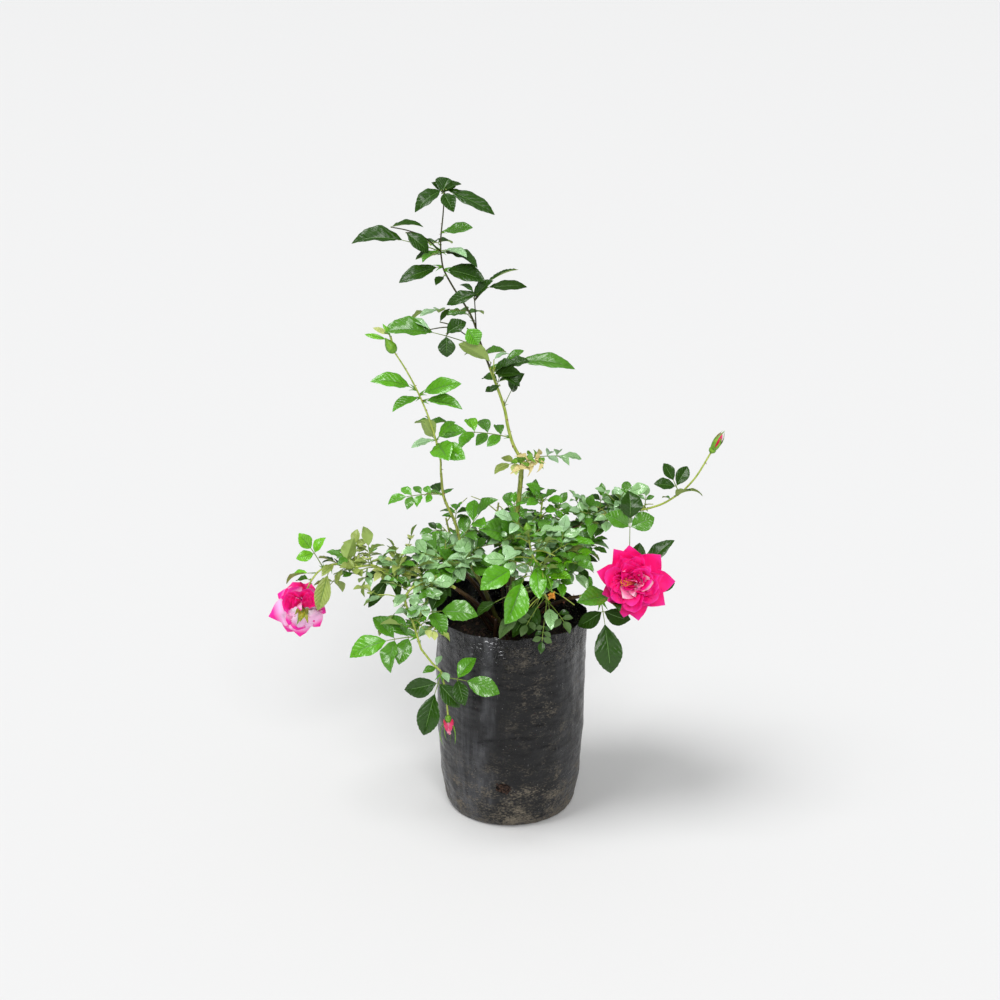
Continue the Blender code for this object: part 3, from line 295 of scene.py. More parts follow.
            (0.06, (33, -110, 237), 3, 14, 34, "s"), (0.03, (66, -98, 258), 2, 16, 40, "s"),
            (0.11, (11, -102, 255), 2, 15, 40, "s"), (0.3, (-40, -70, 268), 0, 22, 60, "k"),
            (0.5, (-30, -74, 336), 1, 28, 50, "b"),
        ], fill=Fill(22, 46, 25, -40, "dbmmb", 130, -0.35), knobs=[(1.0, 4.8, 10), (0.22, 3.4, 6)]),
    "centre_foliage": Spray(
        "centre_cane", [(2, -20, 330), (2, -22, 342)], 1.8, 1.2, [
            (0.97, (-29, -50, 366), 0, 38, 45, "m", 0.75), (0.99, (-6, -34, 378), 0, 36, 40, "f", 0.6),
            (0.92, (14, -54, 338), 0, 28, 45, "m", 0.7), (0.34, (-9, -62, 325), 1, 26, 55, "m"),
            (0.78, (5, -8, 394), 1, 16, 80, "f"), (0.68, (-24, 50, 325), 2, 30, 80, "m"),
        ], fill=Fill(22, 46, 25, -90, "mbdmf", 160, -0.1)),
    "side_shoot_foliage": Spray(
        "small_cane", [(34, 11, 347), (37, 10, 379)], 1.4, 0.9, [
            (0.98, (22, -4, 402), 0, 22, 40, "f"), (0.96, (20, -14, 382), 0, 18, 50, "f"),
            (0.97, (59, -14, 383), 0, 22, 50, "f"), (0.93, (54, 30, 385), 0, 18, 80, "m"),
            (0.78, (52, -6, 370), 0, 16, 50, "f"), (0.56, (29, -14, 361), 0, 12, 60, "m"),
            (0.59, (47, -12, 364), 0, 13, 60, "m"), (0.39, (22, 50, 340), 2, 24, 80, "m"),
        ], fill=Fill(10, 40, 22, -80, "mbf", 170, 0)),
    "right_centre_foliage": Spray(
        "right_centre_cane", [(52, -15, 323), (53, -17, 332)], 1.7, 1.2, [
            (0.76, (38, -46, 362), 0, 34, 38, "f", 0.8), (0.95, (95, -34, 343), 0, 46, 58, "f", 0.5),
            (0.63, (29, -46, 329), 0, 24, 60, "y"), (0.69, (71, -34, 318), 0, 20, 50, "m"),
            (0.44, (59, -44, 313), 0, 20, 45, "m"), (0.24, (96, -34, 312), 1, 24, 72, "b"),
            (0.18, (88, -52, 293), 1, 22, 50, "b"), (0.05, (58, -66, 290), 1, 20, 45, "m"),
            (0.57, (106, 10, 308), 2, 26, 80, "m"),
        ], fill=Fill(22, 46, 25, -60, "bmbdo", 150, -0.1)),
    "left_centre_foliage": Spray(
        "left_centre_cane", [(-67, -22, 313), (-83, -26, 320)], 1.7, 1.2, [
            (0.13, (-14, -48, 317), 0, 34, 50, "m", 0.75), (0.3, (-48, -26, 347), 0, 30, 45, "b"),
            (0.22, (-66, -58, 306), 0, 30, 50, "b"), (0.08, (-79, -44, 297), 0, 28, 80, "b"),
            (0.56, (-81, -30, 332), 0, 22, 60, "m"), (0.89, (-124, -44, 333), 1, 26, 55, "b"),
            (0.71, (-93, -60, 301), 1, 28, 50, "b"), (0.93, (-100, 10, 329), 2, 28, 80, "m"),
            (0.63, (-76, 40, 312), 2, 28, 80, "m"),
        ], fill=Fill(26, 46, 25, -110, "bbmgd", 160, -0.3)),
    "back_left_foliage": Spray(
        "back_left_cane", [(-64, 68, 286), (-72, 80, 308), (-78, 88, 330)], 1.7, 1.1, [
            (0.3, (-70, 142, 300), 1, 30, 84, "m"),
        ], fill=Fill(15, 58, 32, 125, "mdbmb", 140, -0.5)),
    "back_foliage": Spray(
        "back_cane", [(-13, 82, 304), (-16, 90, 326), (-14, 98, 346)], 1.7, 1.1, [
            (0.25, (-20, 146, 304), 1, 32, 84, "m"),
        ], fill=Fill(15, 58, 32, 90, "mdbmb", 130, -0.5)),
    "back_right_foliage": Spray(
        "back_right_cane", [(66, 66, 288), (74, 78, 308), (80, 88, 328)], 1.7, 1.1, [],
        fill=Fill(15, 58, 32, 45, "mdbmb", 140, -0.5)),
}


# what carries each flower
FLOWER_CARRIERS = {
    "left_bloom": "left_tip_foliage",
    "right_bloom": "right_front_foliage",
    "low_bud": "drooping_foliage_low",
    "right_bud": "right_tip_foliage",
}


@dataclass(frozen=True)
class Thicket:
    """Finer twigs that fill a mass: how many, how far they reach, their blades and tints."""

    twigs: int
    reach: float
    blade: float
    facing: float
    tints: str
    spread: float = 180


# stems drawn thinner than their solids
SLENDER = {"tall_cane_foliage_low": 0.85, "tall_cane_foliage_mid": 0.75, "tall_cane_foliage_top": 0.75,
           "left_cane_foliage_top": 0.85, "left_tip_foliage": 0.9}

THICKETS = {
    "front_foliage": Thicket(10, 46, 22, -95, "bmfgb", 150),
    "centre_foliage": Thicket(9, 44, 22, -100, "bmfgb"),
    "right_centre_foliage": Thicket(9, 44, 21, -80, "bmgfo"),
    "left_centre_foliage": Thicket(11, 46, 25, -110, "bgbmg"),
    "left_arch_foliage": Thicket(9, 36, 19, -100, "boogp"),
    "drooping_foliage_high": Thicket(6, 34, 19, -60, "bgmo"),
    "right_arch_foliage": Thicket(8, 34, 17, -80, "bgmb"),
    "side_shoot_foliage": Thicket(4, 26, 15, -80, "mfb"),
    "back_left_foliage": Thicket(7, 44, 20, 120, "mbd"),
    "back_foliage": Thicket(9, 44, 20, 95, "mbd"),
    "back_right_foliage": Thicket(7, 44, 20, 50, "mbd"),
}


# how much lower a point looks from the front for each mm that it stands further back
SIGHT_SLOPE = 0.35


class Tint(Enum):
    """A rose leaf's upper-side colours, from soft new growth to old dark leaves, with painted shade and
    sheen.
    """

    YOUNG = "y"
    FRESH = "f"
    MID = "m"
    DARK = "d"
    DEEP = "k"
    BLUISH = "b"
    OLIVE = "o"
    PALE = "p"
    GLAZED = "g"
    SMOKY = "s"


# ---- colours and nodes ------------------------------------------------------------------------
def linear(code: str) -> tuple[float, float, float, float]:
    """Turns an sRGB hex colour into linear light.

    Args:
        code: Six hex digits after a hash.

    Returns:
        Red, green, blue and full alpha.
    """
    channels = [int(code[i:i + 2], 16) / 255 for i in (1, 3, 5)]
    light = [c / 12.92 if c <= 0.04045 else ((c + 0.055) / 1.055) ** 2.4 for c in channels]
    return (*light, 1.0)


def add_node(tree: bpy.types.NodeTree, kind: str, settings: dict | None = None,
             links: dict | None = None) -> bpy.types.Node:
    """Adds one shader node, sets it up and links its inputs.

    Args:
        tree: The node tree to add to.
        kind: The node's type name after "ShaderNode".
        settings: Attributes or input values by name or index.
        links: Output sockets by the input that they feed.

    Returns:
        The new node.
    """
    made = tree.nodes.new("ShaderNode" + kind)
    for name, value in (settings or {}).items():
        if isinstance(name, str) and hasattr(made, name):
            setattr(made, name, value)
        else:
            made.inputs[name].default_value = value
    for name, socket in (links or {}).items():
        tree.links.new(socket, made.inputs[name])
    return made


def ramp(tree: bpy.types.NodeTree, value: bpy.types.NodeSocket,
         stops: list[tuple[float, str]]) -> bpy.types.NodeSocket:
    """A colour ramp on a value.

    Args:
        tree: The node tree to add to.
        value: The socket that drives the ramp.
        stops: Places from 0 to 1 with their hex colours.

    Returns:
        The ramp's colour socket.
    """
    made = add_node(tree, "ValToRGB", links={"Fac": value})
    elements = made.color_ramp.elements
    while len(elements) < len(stops):
        elements.new(0.5)
    for element, (place, code) in zip(elements, stops):
        element.position = place
        element.color = linear(code)
    return made.outputs["Color"]


class Wire:
    """A shader value; arithmetic on it adds maths nodes to its tree."""

    def __init__(self, socket: bpy.types.NodeSocket) -> None:
        """Wraps an output socket."""
        self.socket = socket
        self.tree = socket.id_data

    def maths(self, operation: str, other: object = 0.0, flip: bool = False) -> "Wire":
        """A maths node on this value and another.

        Args:
            operation: Blender's name of the operation.
            other: A wire or a plain number.
            flip: Whether the other comes first.

        Returns:
            The node's value.
        """
        made = add_node(self.tree, "Math", {"operation": operation})
        for index, item in enumerate((other, self) if flip else (self, other)):
            if isinstance(item, Wire):
                self.tree.links.new(item.socket, made.inputs[index])
            else:
                made.inputs[index].default_value = item
        return Wire(made.outputs[0])

    def __add__(self, other: object) -> "Wire":
        """The sum."""
        return self.maths("ADD", other)

    def __sub__(self, other: object) -> "Wire":
        """The difference."""
        return self.maths("SUBTRACT", other)

    def __rsub__(self, other: object) -> "Wire":
        """The difference from a number."""
        return self.maths("SUBTRACT", other, flip=True)

    def __mul__(self, other: object) -> "Wire":
        """The product."""
        return self.maths("MULTIPLY", other)

    def band(self, low: float, high: float, most: float = 1.0) -> "Wire":
        """A smooth rise from 0 at low to most at high."""
        return self.spread((low, high), (0.0, most), "SMOOTHSTEP")

    def spread(self, given: tuple, wanted: tuple, how: str = "LINEAR") -> "Wire":
        """The value carried over from one range to another, and clamped to it."""
        settings = {"interpolation_type": how, "From Min": given[0], "From Max": given[1],
                    "To Min": wanted[0], "To Max": wanted[1]}
        return Wire(add_node(self.tree, "MapRange", settings, {"Value": self.socket}).outputs[0])


class Paint:
    """A material in the making: its shader, and short ways to make what feeds it."""

    def __init__(self, name: str, colour: str, roughness: float, ior: float,
                 levels: dict | None = None) -> None:
        """Starts from a plain finish.

        Args:
            name: The material's name.
            colour: Hex base colour.
            roughness: Surface roughness.
            ior: Index of refraction.
            levels: Further inputs of the shader by name.
        """
        self.material = bpy.data.materials.new(name)
        self.material.use_nodes = True
        self.tree = self.material.node_tree
        self.shader = self.tree.nodes["Principled BSDF"]
        plain = {"Base Color": linear(colour), "Roughness": roughness, "IOR": ior}
        for title, level in {**plain, **(levels or {})}.items():
            self.shader.inputs[title].default_value = level

    def feed(self, title: str, value: Wire) -> None:
        """Links a value to one of the shader's inputs."""
        self.tree.links.new(value.socket, self.shader.inputs[title])

    def place(self) -> Wire:
        """The object's own coordinates."""
        return Wire(add_node(self.tree, "TexCoord").outputs["Object"])

    def chart(self) -> Wire:
        """The surface's chart: across, then along."""
        return Wire(add_node(self.tree, "UVMap", {"uv_map": "chart"}).outputs[0])

    def axes(self, vector: Wire) -> list[Wire]:
        """The three parts of a vector."""
        return [Wire(out) for out in add_node(self.tree, "SeparateXYZ", links={0: vector.socket}).outputs]

    def noise(self, vector: Wire, scale: float, detail: float, roughness: float = 0.5) -> Wire:
        """A soft noise over a vector."""
        settings = {"Scale": scale, "Detail": detail, "Roughness": roughness}
        return Wire(add_node(self.tree, "TexNoise", settings, {"Vector": vector.socket}).outputs["Fac"])

    def cloud(self, size_mm: float, detail: float = 6.0, stretch: tuple = (1, 1, 1),
              turn: tuple = (0, 0, 0), roughness: float = 0.62) -> Wire:
        """A noise over the object whose patches measure about size_mm before they are stretched."""
        settings = {"Scale": stretch, "Rotation": turn}
        laid = add_node(self.tree, "Mapping", settings, {"Vector": self.place().socket})
        return self.noise(Wire(laid.outputs[0]), 1 / (size_mm * MM), detail, roughness)

    def ramp(self, value: Wire, stops: list[tuple[float, str]]) -> Wire:
        """A colour ramp on a value."""
        return Wire(ramp(self.tree, value.socket, stops))

    def over(self, share: Wire, under: Wire, colour: str) -> Wire:
        """A colour laid over another by a share."""
        return Wire(add_node(self.tree, "Mix", {"data_type": "RGBA", 7: linear(colour)},
                             {0: share.socket, 6: under.socket}).outputs[2])

    def bump(self, height: Wire, strength: float, distance: float, under: Wire | None = None) -> Wire:
        """A normal from a height, on top of another normal if one is given."""
        links = {"Height": height.socket, **({"Normal": under.socket} if under else {})}
        settings = {"Strength": strength, "Distance": distance}
        return Wire(add_node(self.tree, "Bump", settings, links).outputs[0])


# ---- finishes ---------------------------------------------------------------------------------
@dataclass(frozen=True)
class LeafSkin:
    """Waxy rose leaf: a plain tint with the veins pressed in, so the light breaks between them."""

    name: str
    colour: str
    roughness: float = 0.36
    vein_depth: float = 0.6
    veins: float = 7.0
    slant: float = 5.0
    ior: float = 1.47
    wax: float = 0.25
    wax_roughness: float = 0.16
    shine: float = 0.5
    rib: float = 0.025
    swell_mm: float = 8.0

    def material(self) -> bpy.types.Material:
        """The leaf's material; its veins follow the blade's own chart.

        Returns:
            The material.
        """
        levels = {"Specular IOR Level": self.shine, "Coat Weight": self.wax,
                  "Coat Roughness": self.wax_roughness}
        paint = Paint(self.name, self.colour, self.roughness, self.ior, levels)
        chart = paint.chart()
        across, along, _ = paint.axes(chart)
        aside = (across - 0.5).maths("ABSOLUTE")
        wave = ((along * self.veins - aside * self.slant) * math.tau).maths("COSINE")
        vein = (wave * 0.5 + 0.5).maths("POWER", 2.0)
        pressed = vein * (paint.noise(chart, 5.0, 1.0) + 0.3)
        height = 1.0 - pressed.maths("MAXIMUM", aside.maths("LESS_THAN", self.rib))
        swell = paint.noise(paint.place(), 1 / (self.swell_mm * MM), 2.0)
        paint.feed("Normal", paint.bump(height, self.vein_depth, 0.0012, paint.bump(swell, 0.5, 0.003)))
        return paint.material


@dataclass(frozen=True)
class StemSkin:
    """Rose bark: smooth and waxy, with fine streaks along it.

    The bark low down, among the leaves and in the bag's mouth, is dark and reddish, partly old bark and
    partly painted shade: it is darkest below the lower height and has its own colour above green_from_mm.
    """

    name: str
    colour: str
    other: str
    roughness: float = 0.42
    ridge_mm: float = 1.4
    # painted shade: old bark's dark reddish colour, deepened to stand for the shade in the bag's mouth and
    # among the leaves
    old: str = "#24120C"
    aged_shade_to_mm: float = 262.0
    green_from_mm: float = 305.0

    def material(self) -> bpy.types.Material:
        """The bark's material."""
        paint = Paint(self.name, self.colour, self.roughness, 1.46)
        streak = paint.cloud(self.ridge_mm, 4.0, (1, 1, 0.14), roughness=0.5)
        living = paint.ramp(streak, [(0.36, self.colour), (0.66, self.other)])
        aged_and_shaded = paint.axes(paint.place())[2].band(self.green_from_mm * MM, self.aged_shade_to_mm * MM, 0.85)
        paint.feed("Base Color", paint.over(aged_and_shaded, living, self.old))
        paint.feed("Normal", paint.bump(streak, 0.35, 0.0004))
        return paint.material


@dataclass(frozen=True)
class PlainSkin:
    """A small part's skin: one colour mottled by a fine grain."""

    name: str
    colour: str
    other: str
    roughness: float = 0.5
    grain_mm: float = 2.0
    relief: float = 0.3
    ior: float = 1.45

    def material(self) -> bpy.types.Material:
        """The part's material."""
        paint = Paint(self.name, self.colour, self.roughness, self.ior)
        grain = paint.noise(paint.place(), 1 / (self.grain_mm * MM), 3.0)
        paint.feed("Base Color", paint.ramp(grain, [(0.35, self.colour), (0.7, self.other)]))
        paint.feed("Normal", paint.bump(grain, self.relief, 0.0003))
        return paint.material


@dataclass(frozen=True)
class PetalSkin:
    """Rose petal: velvety, with colour that runs along it and faint ribs fanning to its edge."""

    name: str
    heart: str
    body: str
    edge: str
    roughness: float = 0.55
    ribs: float = 26.0
    edge_from: float = 0.86
    glow_mm: float = 1.5

    def material(self) -> bpy.types.Material:
        """The petal's material; its colours run along its own chart and light seeps through it.

        Returns:
            The material.
        """
        paint = Paint(self.name, self.body, self.roughness, 1.4, {
            "Subsurface Weight": 0.4, "Subsurface Radius": (self.glow_mm * MM,) * 3,
            "Subsurface Scale": 1.0, "Specular IOR Level": 0.3})
        across, along, _ = paint.axes(paint.chart())
        aside = (across - 0.5).maths("ABSOLUTE")
        run = along.maths("MAXIMUM", (aside * 2.0).maths("POWER", 3.0))
        stops = [(0.08, self.heart), (0.4, self.body), (self.edge_from - 0.2, self.body),
                 (self.edge_from, self.edge)]
        paint.feed("Base Color", paint.ramp(run, stops))
        wave = (across * (self.ribs * math.tau)).maths("COSINE")
        paint.feed("Normal", paint.bump(wave, 0.12, 0.0005))
        return paint.material


@dataclass(frozen=True)
class PolyFilm:
    """Black polythene film, blown and creased: a waxy half-gloss, dusty and scuffed by use, with painted
    sheen and painted glints.
    """

    name: str = "black_polythene_film"
    black: str = "#050506"
    worn: str = "#0A0A0C"
    greyed: str = "#1C1C1E"
    dust: str = "#7C7364"
    # painted sheen: the pale grey of the film's soft highlight, laid in streaks
    bloom: str = "#74757A"
    scratch: str = "#9C9C9A"
    # painted glint: the near-white of the crumpled lip's glints
    lip: str = "#C4C4C8"
    ripple_mm: float = 30.0
    crinkle_mm: float = 6.0
    dust_mm: float = 24.0
    dust_grain_mm: float = 3.2
    grit_mm: float = 4.5
    sheen_streak_mm: float = 13.0

    def material(self) -> bpy.types.Material:
        """The film's material: painted sheen in pale streaks, dust low down, scratches, specks and painted
        glints.

        Returns:
            The material.
        """
        paint = Paint(self.name, self.black, 0.42, 1.51, {"Specular IOR Level": 0.33})
        cloud = paint.cloud
        place = paint.place()
        x, _, z = paint.axes(place)
        wear = cloud(20, 7, (1, 1, 1.8))
        colour = paint.ramp(wear, [(0.38, self.black), (0.54, self.worn), (0.72, self.greyed)])
        # painted sheen: pale grey laid in broad upright streaks on the slack side stands in for the film's
        # soft highlight
        streak = cloud(self.sheen_streak_mm, 3, (1, 1, 0.12)).band(0.36, 0.72)
        slack = x.band(-0.012, -0.024) + x.band(0.03, 0.085, 0.5)
        sheen_share = (streak * 0.36 + 0.08) * slack * cloud(40).band(0.3, 0.6)
        colour = paint.over(sheen_share, colour, self.bloom)
        # dust lies in broken patches, thick low down and faint above
        grain = cloud(self.dust_grain_mm, 9, (1, 1, 1.9))
        patch = cloud(self.dust_mm, 4, (1, 1, 1.5)) * 0.75 + grain * 0.95
        thick = (patch + z.band(0.075, 0.0, 0.13)).band(0.86, 1.16, 0.8) * z.band(0.115, 0.05)
        faint = patch.band(0.88, 1.08, 0.42) * z.band(0.07, 0.15)
        dusty = thick + faint * x.band(-0.03, 0.03)
        colour = paint.over(dusty, colour, self.dust)
        # scratches cross it aslant, and grit leaves pale specks
        falling = cloud(1.3, 1, (1, 1, 0.05), (0.25, 0.6, 0)).band(0.7, 0.8)
        rising = cloud(1.5, 1, (1, 1, 0.06), (-0.2, -0.75, 0)).band(0.72, 0.82)
        lines = falling.maths("MAXIMUM", rising) * cloud(26).band(0.5, 0.62)
        scale = {"Scale": 1 / (self.grit_mm * MM)}
        grit = Wire(add_node(paint.tree, "TexVoronoi", scale, {"Vector": place.socket}).outputs["Distance"])
        speck = grit.maths("LESS_THAN", 0.1) * cloud(2.2).maths("GREATER_THAN", 0.53)
        colour = paint.over(lines.maths("MAXIMUM", speck) * 0.5, colour, self.scratch)
        # painted glints: near-white short dashes on the crumpled lip at the front stand in for its glints
        lip = z.band(0.208, 0.228) * x.band(-0.002, -0.014) * x.band(-0.052, -0.04)
        glint_fleck = cloud(8, 3, (1, 1, 3.2), (0.3, 0.7, 0)).band(0.62, 0.68, 0.9).maths(
            "MAXIMUM", cloud(7, 3, (1, 1, 3.2), (-0.3, -0.8, 0)).band(0.63, 0.69, 0.8))
        paint.feed("Base Color", paint.over(glint_fleck * lip, colour, self.lip))
        crinkle = cloud(self.crinkle_mm, 3)
        gloss = crinkle.spread((0.3, 0.7), (0.24, 0.4))
        paint.feed("Roughness", dusty * 0.5 + (gloss - z.band(0.19, 0.23, 0.12)))
        # broad soft swells, upright folds on the slack side, crumples at lip and foot
        swell = cloud(self.ripple_mm, 1, (1, 1, 2.6)) + cloud(26, 1, (1, 1, 0.1)) * slack
        rumple = z.band(0.195, 0.235, 2.8) + z.band(0.05, 0.0, 1.2) + 0.45
        paint.feed("Normal", paint.bump(crinkle * rumple, 0.9, 0.0016, paint.bump(swell, 0.55, 0.006)))
        return paint.material


TOP_SKINS = {
    Tint.YOUNG: LeafSkin("young_rose_leaf", "#78C61A", 0.27, wax=0.5),
    Tint.FRESH: LeafSkin("fresh_rose_leaf", "#5EA81A", 0.25, vein_depth=0.5, wax=0.6),
    Tint.MID: LeafSkin("grown_rose_leaf", "#528E20", 0.25, vein_depth=0.5, wax=0.6),
    Tint.DARK: LeafSkin("dark_rose_leaf", "#284E06", 0.34, vein_depth=0.45, wax=0.3, shine=0.3),
    Tint.DEEP: LeafSkin("shaded_rose_leaf", "#234204", 0.48, vein_depth=0.35, wax=0.0, shine=0.15),
    # partly painted reflection: a real grey-green tone, made pale to stand for sky reflected on waxy leaves
    Tint.BLUISH: LeafSkin("bluish_rose_leaf", "#9ACA86", 0.22, wax=1.0),
    Tint.OLIVE: LeafSkin("olive_rose_leaf", "#9AAE54", 0.45, wax=0.2),
    Tint.PALE: LeafSkin("pale_rose_leaf", "#CAD67E", 0.48, wax=0.1),
    # painted sheen: a pale tint that stands in for the white-green sheen on waxy leaves
    Tint.GLAZED: LeafSkin("glazed_rose_leaf", "#A8D49C", 0.2, wax=1.0),
    Tint.SMOKY: LeafSkin("smoky_rose_leaf", "#4C6834", 0.45, vein_depth=0.3, wax=0.0, shine=0.3),
}
# matt underside, lighter than the top
UNDERSIDE = LeafSkin("rose_leaf_underside", "#93AC58", 0.6, vein_depth=-0.5, wax=0.0)
# the pale midrib along the top
MIDRIB = LeafSkin("rose_leaf_midrib", "#568038", 0.4, vein_depth=0.0, wax=0.2)
SKINS = (
    PlainSkin("green_leaf_stalk", "#6E8A32", "#8A9C48", 0.5),
    PlainSkin("rose_prickle", "#7A4028", "#A8683C", 0.45),
    PlainSkin("green_bud", "#5C9420", "#84B436", 0.42, 3.0),
    PlainSkin("young_calyx", "#84981C", "#CCC83C", 0.45, 3.0),
    PlainSkin("withered_bud", "#C99B34", "#D9842E", 0.6, 2.0),
    PlainSkin("dry_bract", "#EADC9C", "#CDB974", 0.7, 2.0),
    PlainSkin("anther", "#F09830", "#C03A1C", 0.6, 1.0),
    PlainSkin("filament", "#F8A860", "#F0486A", 0.5, 1.0),
    PetalSkin("hot_pink_petal", "#FF0468", "#FF0A7A", "#FF2A9C", edge_from=0.97),
    PetalSkin("petal_reverse", "#FFF0FA", "#FFBCE8", "#FF2AA4"),
    PetalSkin("pale_petaloid", "#FF3C80", "#FF80B0", "#FFC8DC", edge_from=0.9),
    PetalSkin("bud_petal", "#E02450", "#F64878", "#FF9CB8", 0.4),
    PlainSkin("old_rose_wood", "#241610", "#44301F", 0.75, 4.0, 0.7),
    # painted shade: compost darkened to near black to stand for the deep shade inside the bag
    PlainSkin("moist_compost", "#0C0806", "#281C13", 0.95, 3.5, 0.9),
    PlainSkin("compost_crumb", "#1E1410", "#4A3428", 0.9, 2.5, 0.6),
    PolyFilm(),
)
BARKS = {
    "brown": StemSkin("brown_cane_bark", "#382214", "#5E4A24"),
    "olive": StemSkin("olive_cane_bark", "#6E7C28", "#B8C25C"),
    "green": StemSkin("green_cane_bark", "#94AC38", "#C4D068", aged_shade_to_mm=100.0, green_from_mm=140.0),
    "dark": StemSkin("purplish_cane_bark", "#2E2C12", "#4E5424"),
}
# the bark of each limb that has neither a cane's brown nor a shoot's green
LIMB_BARKS = {
    "tall_cane_foliage_mid": "dark", "tall_cane_foliage_top": "dark",
    **dict.fromkeys(("tall_cane", "left_cane", "left_cane_foliage_low", "right_arch_foliage",
                     "back_left_foliage", "back_foliage", "back_right_foliage", "centre_foliage",
                     "left_centre_foliage", "right_centre_foliage"), "olive"),
}


# ---- curves -----------------------------------------------------------------------------------
def smooth_path(points: list, steps: int) -> list[Vector]:
    """Points along a Catmull-Rom curve.

    Args:
        points: The points that it passes, mm.
        steps: Points to each span.

    Returns:
        The curve's points.
    """
    knots = [Vector(p) for p in points]
    knots = [2 * knots[0] - knots[1]] + knots + [2 * knots[-1] - knots[-2]]
    path = []
    for a, b, c, d in zip(knots, knots[1:], knots[2:], knots[3:]):
        for step in range(steps):
            t = step / steps
            path.append(0.5 * (2 * b + (c - a) * t + (2 * a - 5 * b + 4 * c - d) * t ** 2
                               + (3 * b - a - 3 * c + d) * t ** 3))
    path.append(knots[-2])
    return path


def point_along(path: list[Vector], share: float) -> tuple[Vector, Vector]:
    """The point and the direction at a share of a path's length.

    Args:
        path: The path's points.
        share: From 0 at its foot to 1 at its end.

    Returns:
        The point and the unit direction there.
    """
    lengths = [(b - a).length for a, b in zip(path, path[1:])]
    left = share * sum(lengths)
    for a, b, length in zip(path, path[1:], lengths):
        if left <= length:
            return a.lerp(b, left / length), (b - a).normalized()
        left -= length
    return path[-1].copy(), (path[-1] - path[-2]).normalized()


def square_to(vector: Vector, along: Vector) -> Vector:
    """The part of a vector square to a direction, as a unit vector."""
    part = vector - vector.dot(along) * along
    if part.length < 1e-4:
        part = along.orthogonal()
    return part.normalized()


def look_normal(look: float) -> Vector:
    """The way a blade faces: 0 is front, 90 is up and 180 is back."""
    angle = math.radians(look)
    return Vector((0, -math.cos(angle), math.sin(angle)))


@dataclass
class Growth:
    """The paths of every limb and stem, coarse as the solids' and fine for the drawn meshes."""

    fine_steps: int = 7
    coarse: dict = field(default_factory=dict)
    fine: dict = field(default_factory=dict)

    def grow(self) -> None:
        """Works out each path from the crown outwards."""
        for name, cane in CANES.items():
            azimuth = math.radians(cane.azimuth)
            elevation = math.radians(cane.elevation)
            level = math.cos(elevation)
            out = Vector((math.cos(azimuth) * level, math.sin(azimuth) * level, math.sin(elevation)))
            foot = CROWN_CENTRE + out * (CROWN_RADIUS + CLEARANCE + 0.1)
            self.add(name, foot - out * 4, foot, [foot + out * CANE_LEAD] + cane.points)
        for name, spray in SPRAYS.items():
            self.carry(name, spray.carrier, spray.points)
        for name, carrier in FLOWER_CARRIERS.items():
            self.carry(name, carrier, [])

    def add(self, name: str, root: Vector, start: Vector, points: list) -> None:
        """Stores a path.

        Args:
            name: The limb's name.
            root: Where the drawn mesh starts, sunk in what carries it.
            start: Where the solid starts.
            points: The points that it passes.
        """
        lead = [Vector(points[0])]
        self.coarse[name] = [start] + (smooth_path(points, 2) if len(points) > 1 else lead)
        self.fine[name] = [root] + (smooth_path(points, self.fine_steps) if len(points) > 1 else lead)

    def carry(self, name: str, carrier: str, points: list) -> None:
        """Starts a path at the end of another, in line with it."""
        path = self.coarse[carrier]
        along = (path[-1] - path[-2]).normalized()
        start = path[-1] + along * (CLEARANCE + 0.1)
        self.add(name, path[-1] - along, start, [start + along * STEM_LEAD] + points)


# ---- shapes modelled once and joined as copies --------------------------------------------------
@dataclass
class Form:
    """A shape kept as arrays: points, face corners, each face's start and side, and its chart."""

    points: np.ndarray
    corners: np.ndarray
    starts: np.ndarray
    sides: np.ndarray
    chart: np.ndarray


def take_form(thing: bpy.types.Object, chart: Callable[[np.ndarray], np.ndarray],
              sides: Callable[[bpy.types.Mesh], list]) -> Form:
    """Reads a modelled object into arrays and removes it.

    Args:
        thing: The modelled object.
        chart: Gives each point's place on the surface's own chart.
        sides: Gives the side, 0 or 1, of each face.

    Returns:
        The shape as arrays.
    """
    mesh = thing.data
    points = np.array([v.co for v in mesh.vertices])
    corners = np.array([loop.vertex_index for loop in mesh.loops])
    starts = np.array([face.loop_start for face in mesh.polygons])
    form = Form(points, corners, starts, np.array(sides(mesh)), chart(points))
    bpy.data.objects.remove(thing, do_unlink=True)
    return form


def clear_selection() -> None:
    """Leaves nothing selected, the frame's nodes included."""
    bpy.ops.object.select_all(action="DESELECT")


def pick(test: Callable[[Vector], bool]) -> None:
    """Selects the points of the mesh in edit mode that pass a test on their place."""
    mesh = bpy.context.edit_object.data
    build = bmesh.from_edit_mesh(mesh)
    for vert in build.verts:
        vert.select = test(vert.co)
    build.select_flush_mode()
    bmesh.update_edit_mesh(mesh)


def pick_parts(kind: str, test: Callable[[object], bool]) -> None:
    """Selects the edges or the faces of the mesh in edit mode that pass a test."""
    mesh = bpy.context.edit_object.data
    for part in getattr(bmesh.from_edit_mesh(mesh), kind):
        part.select = test(part)
    bmesh.update_edit_mesh(mesh)


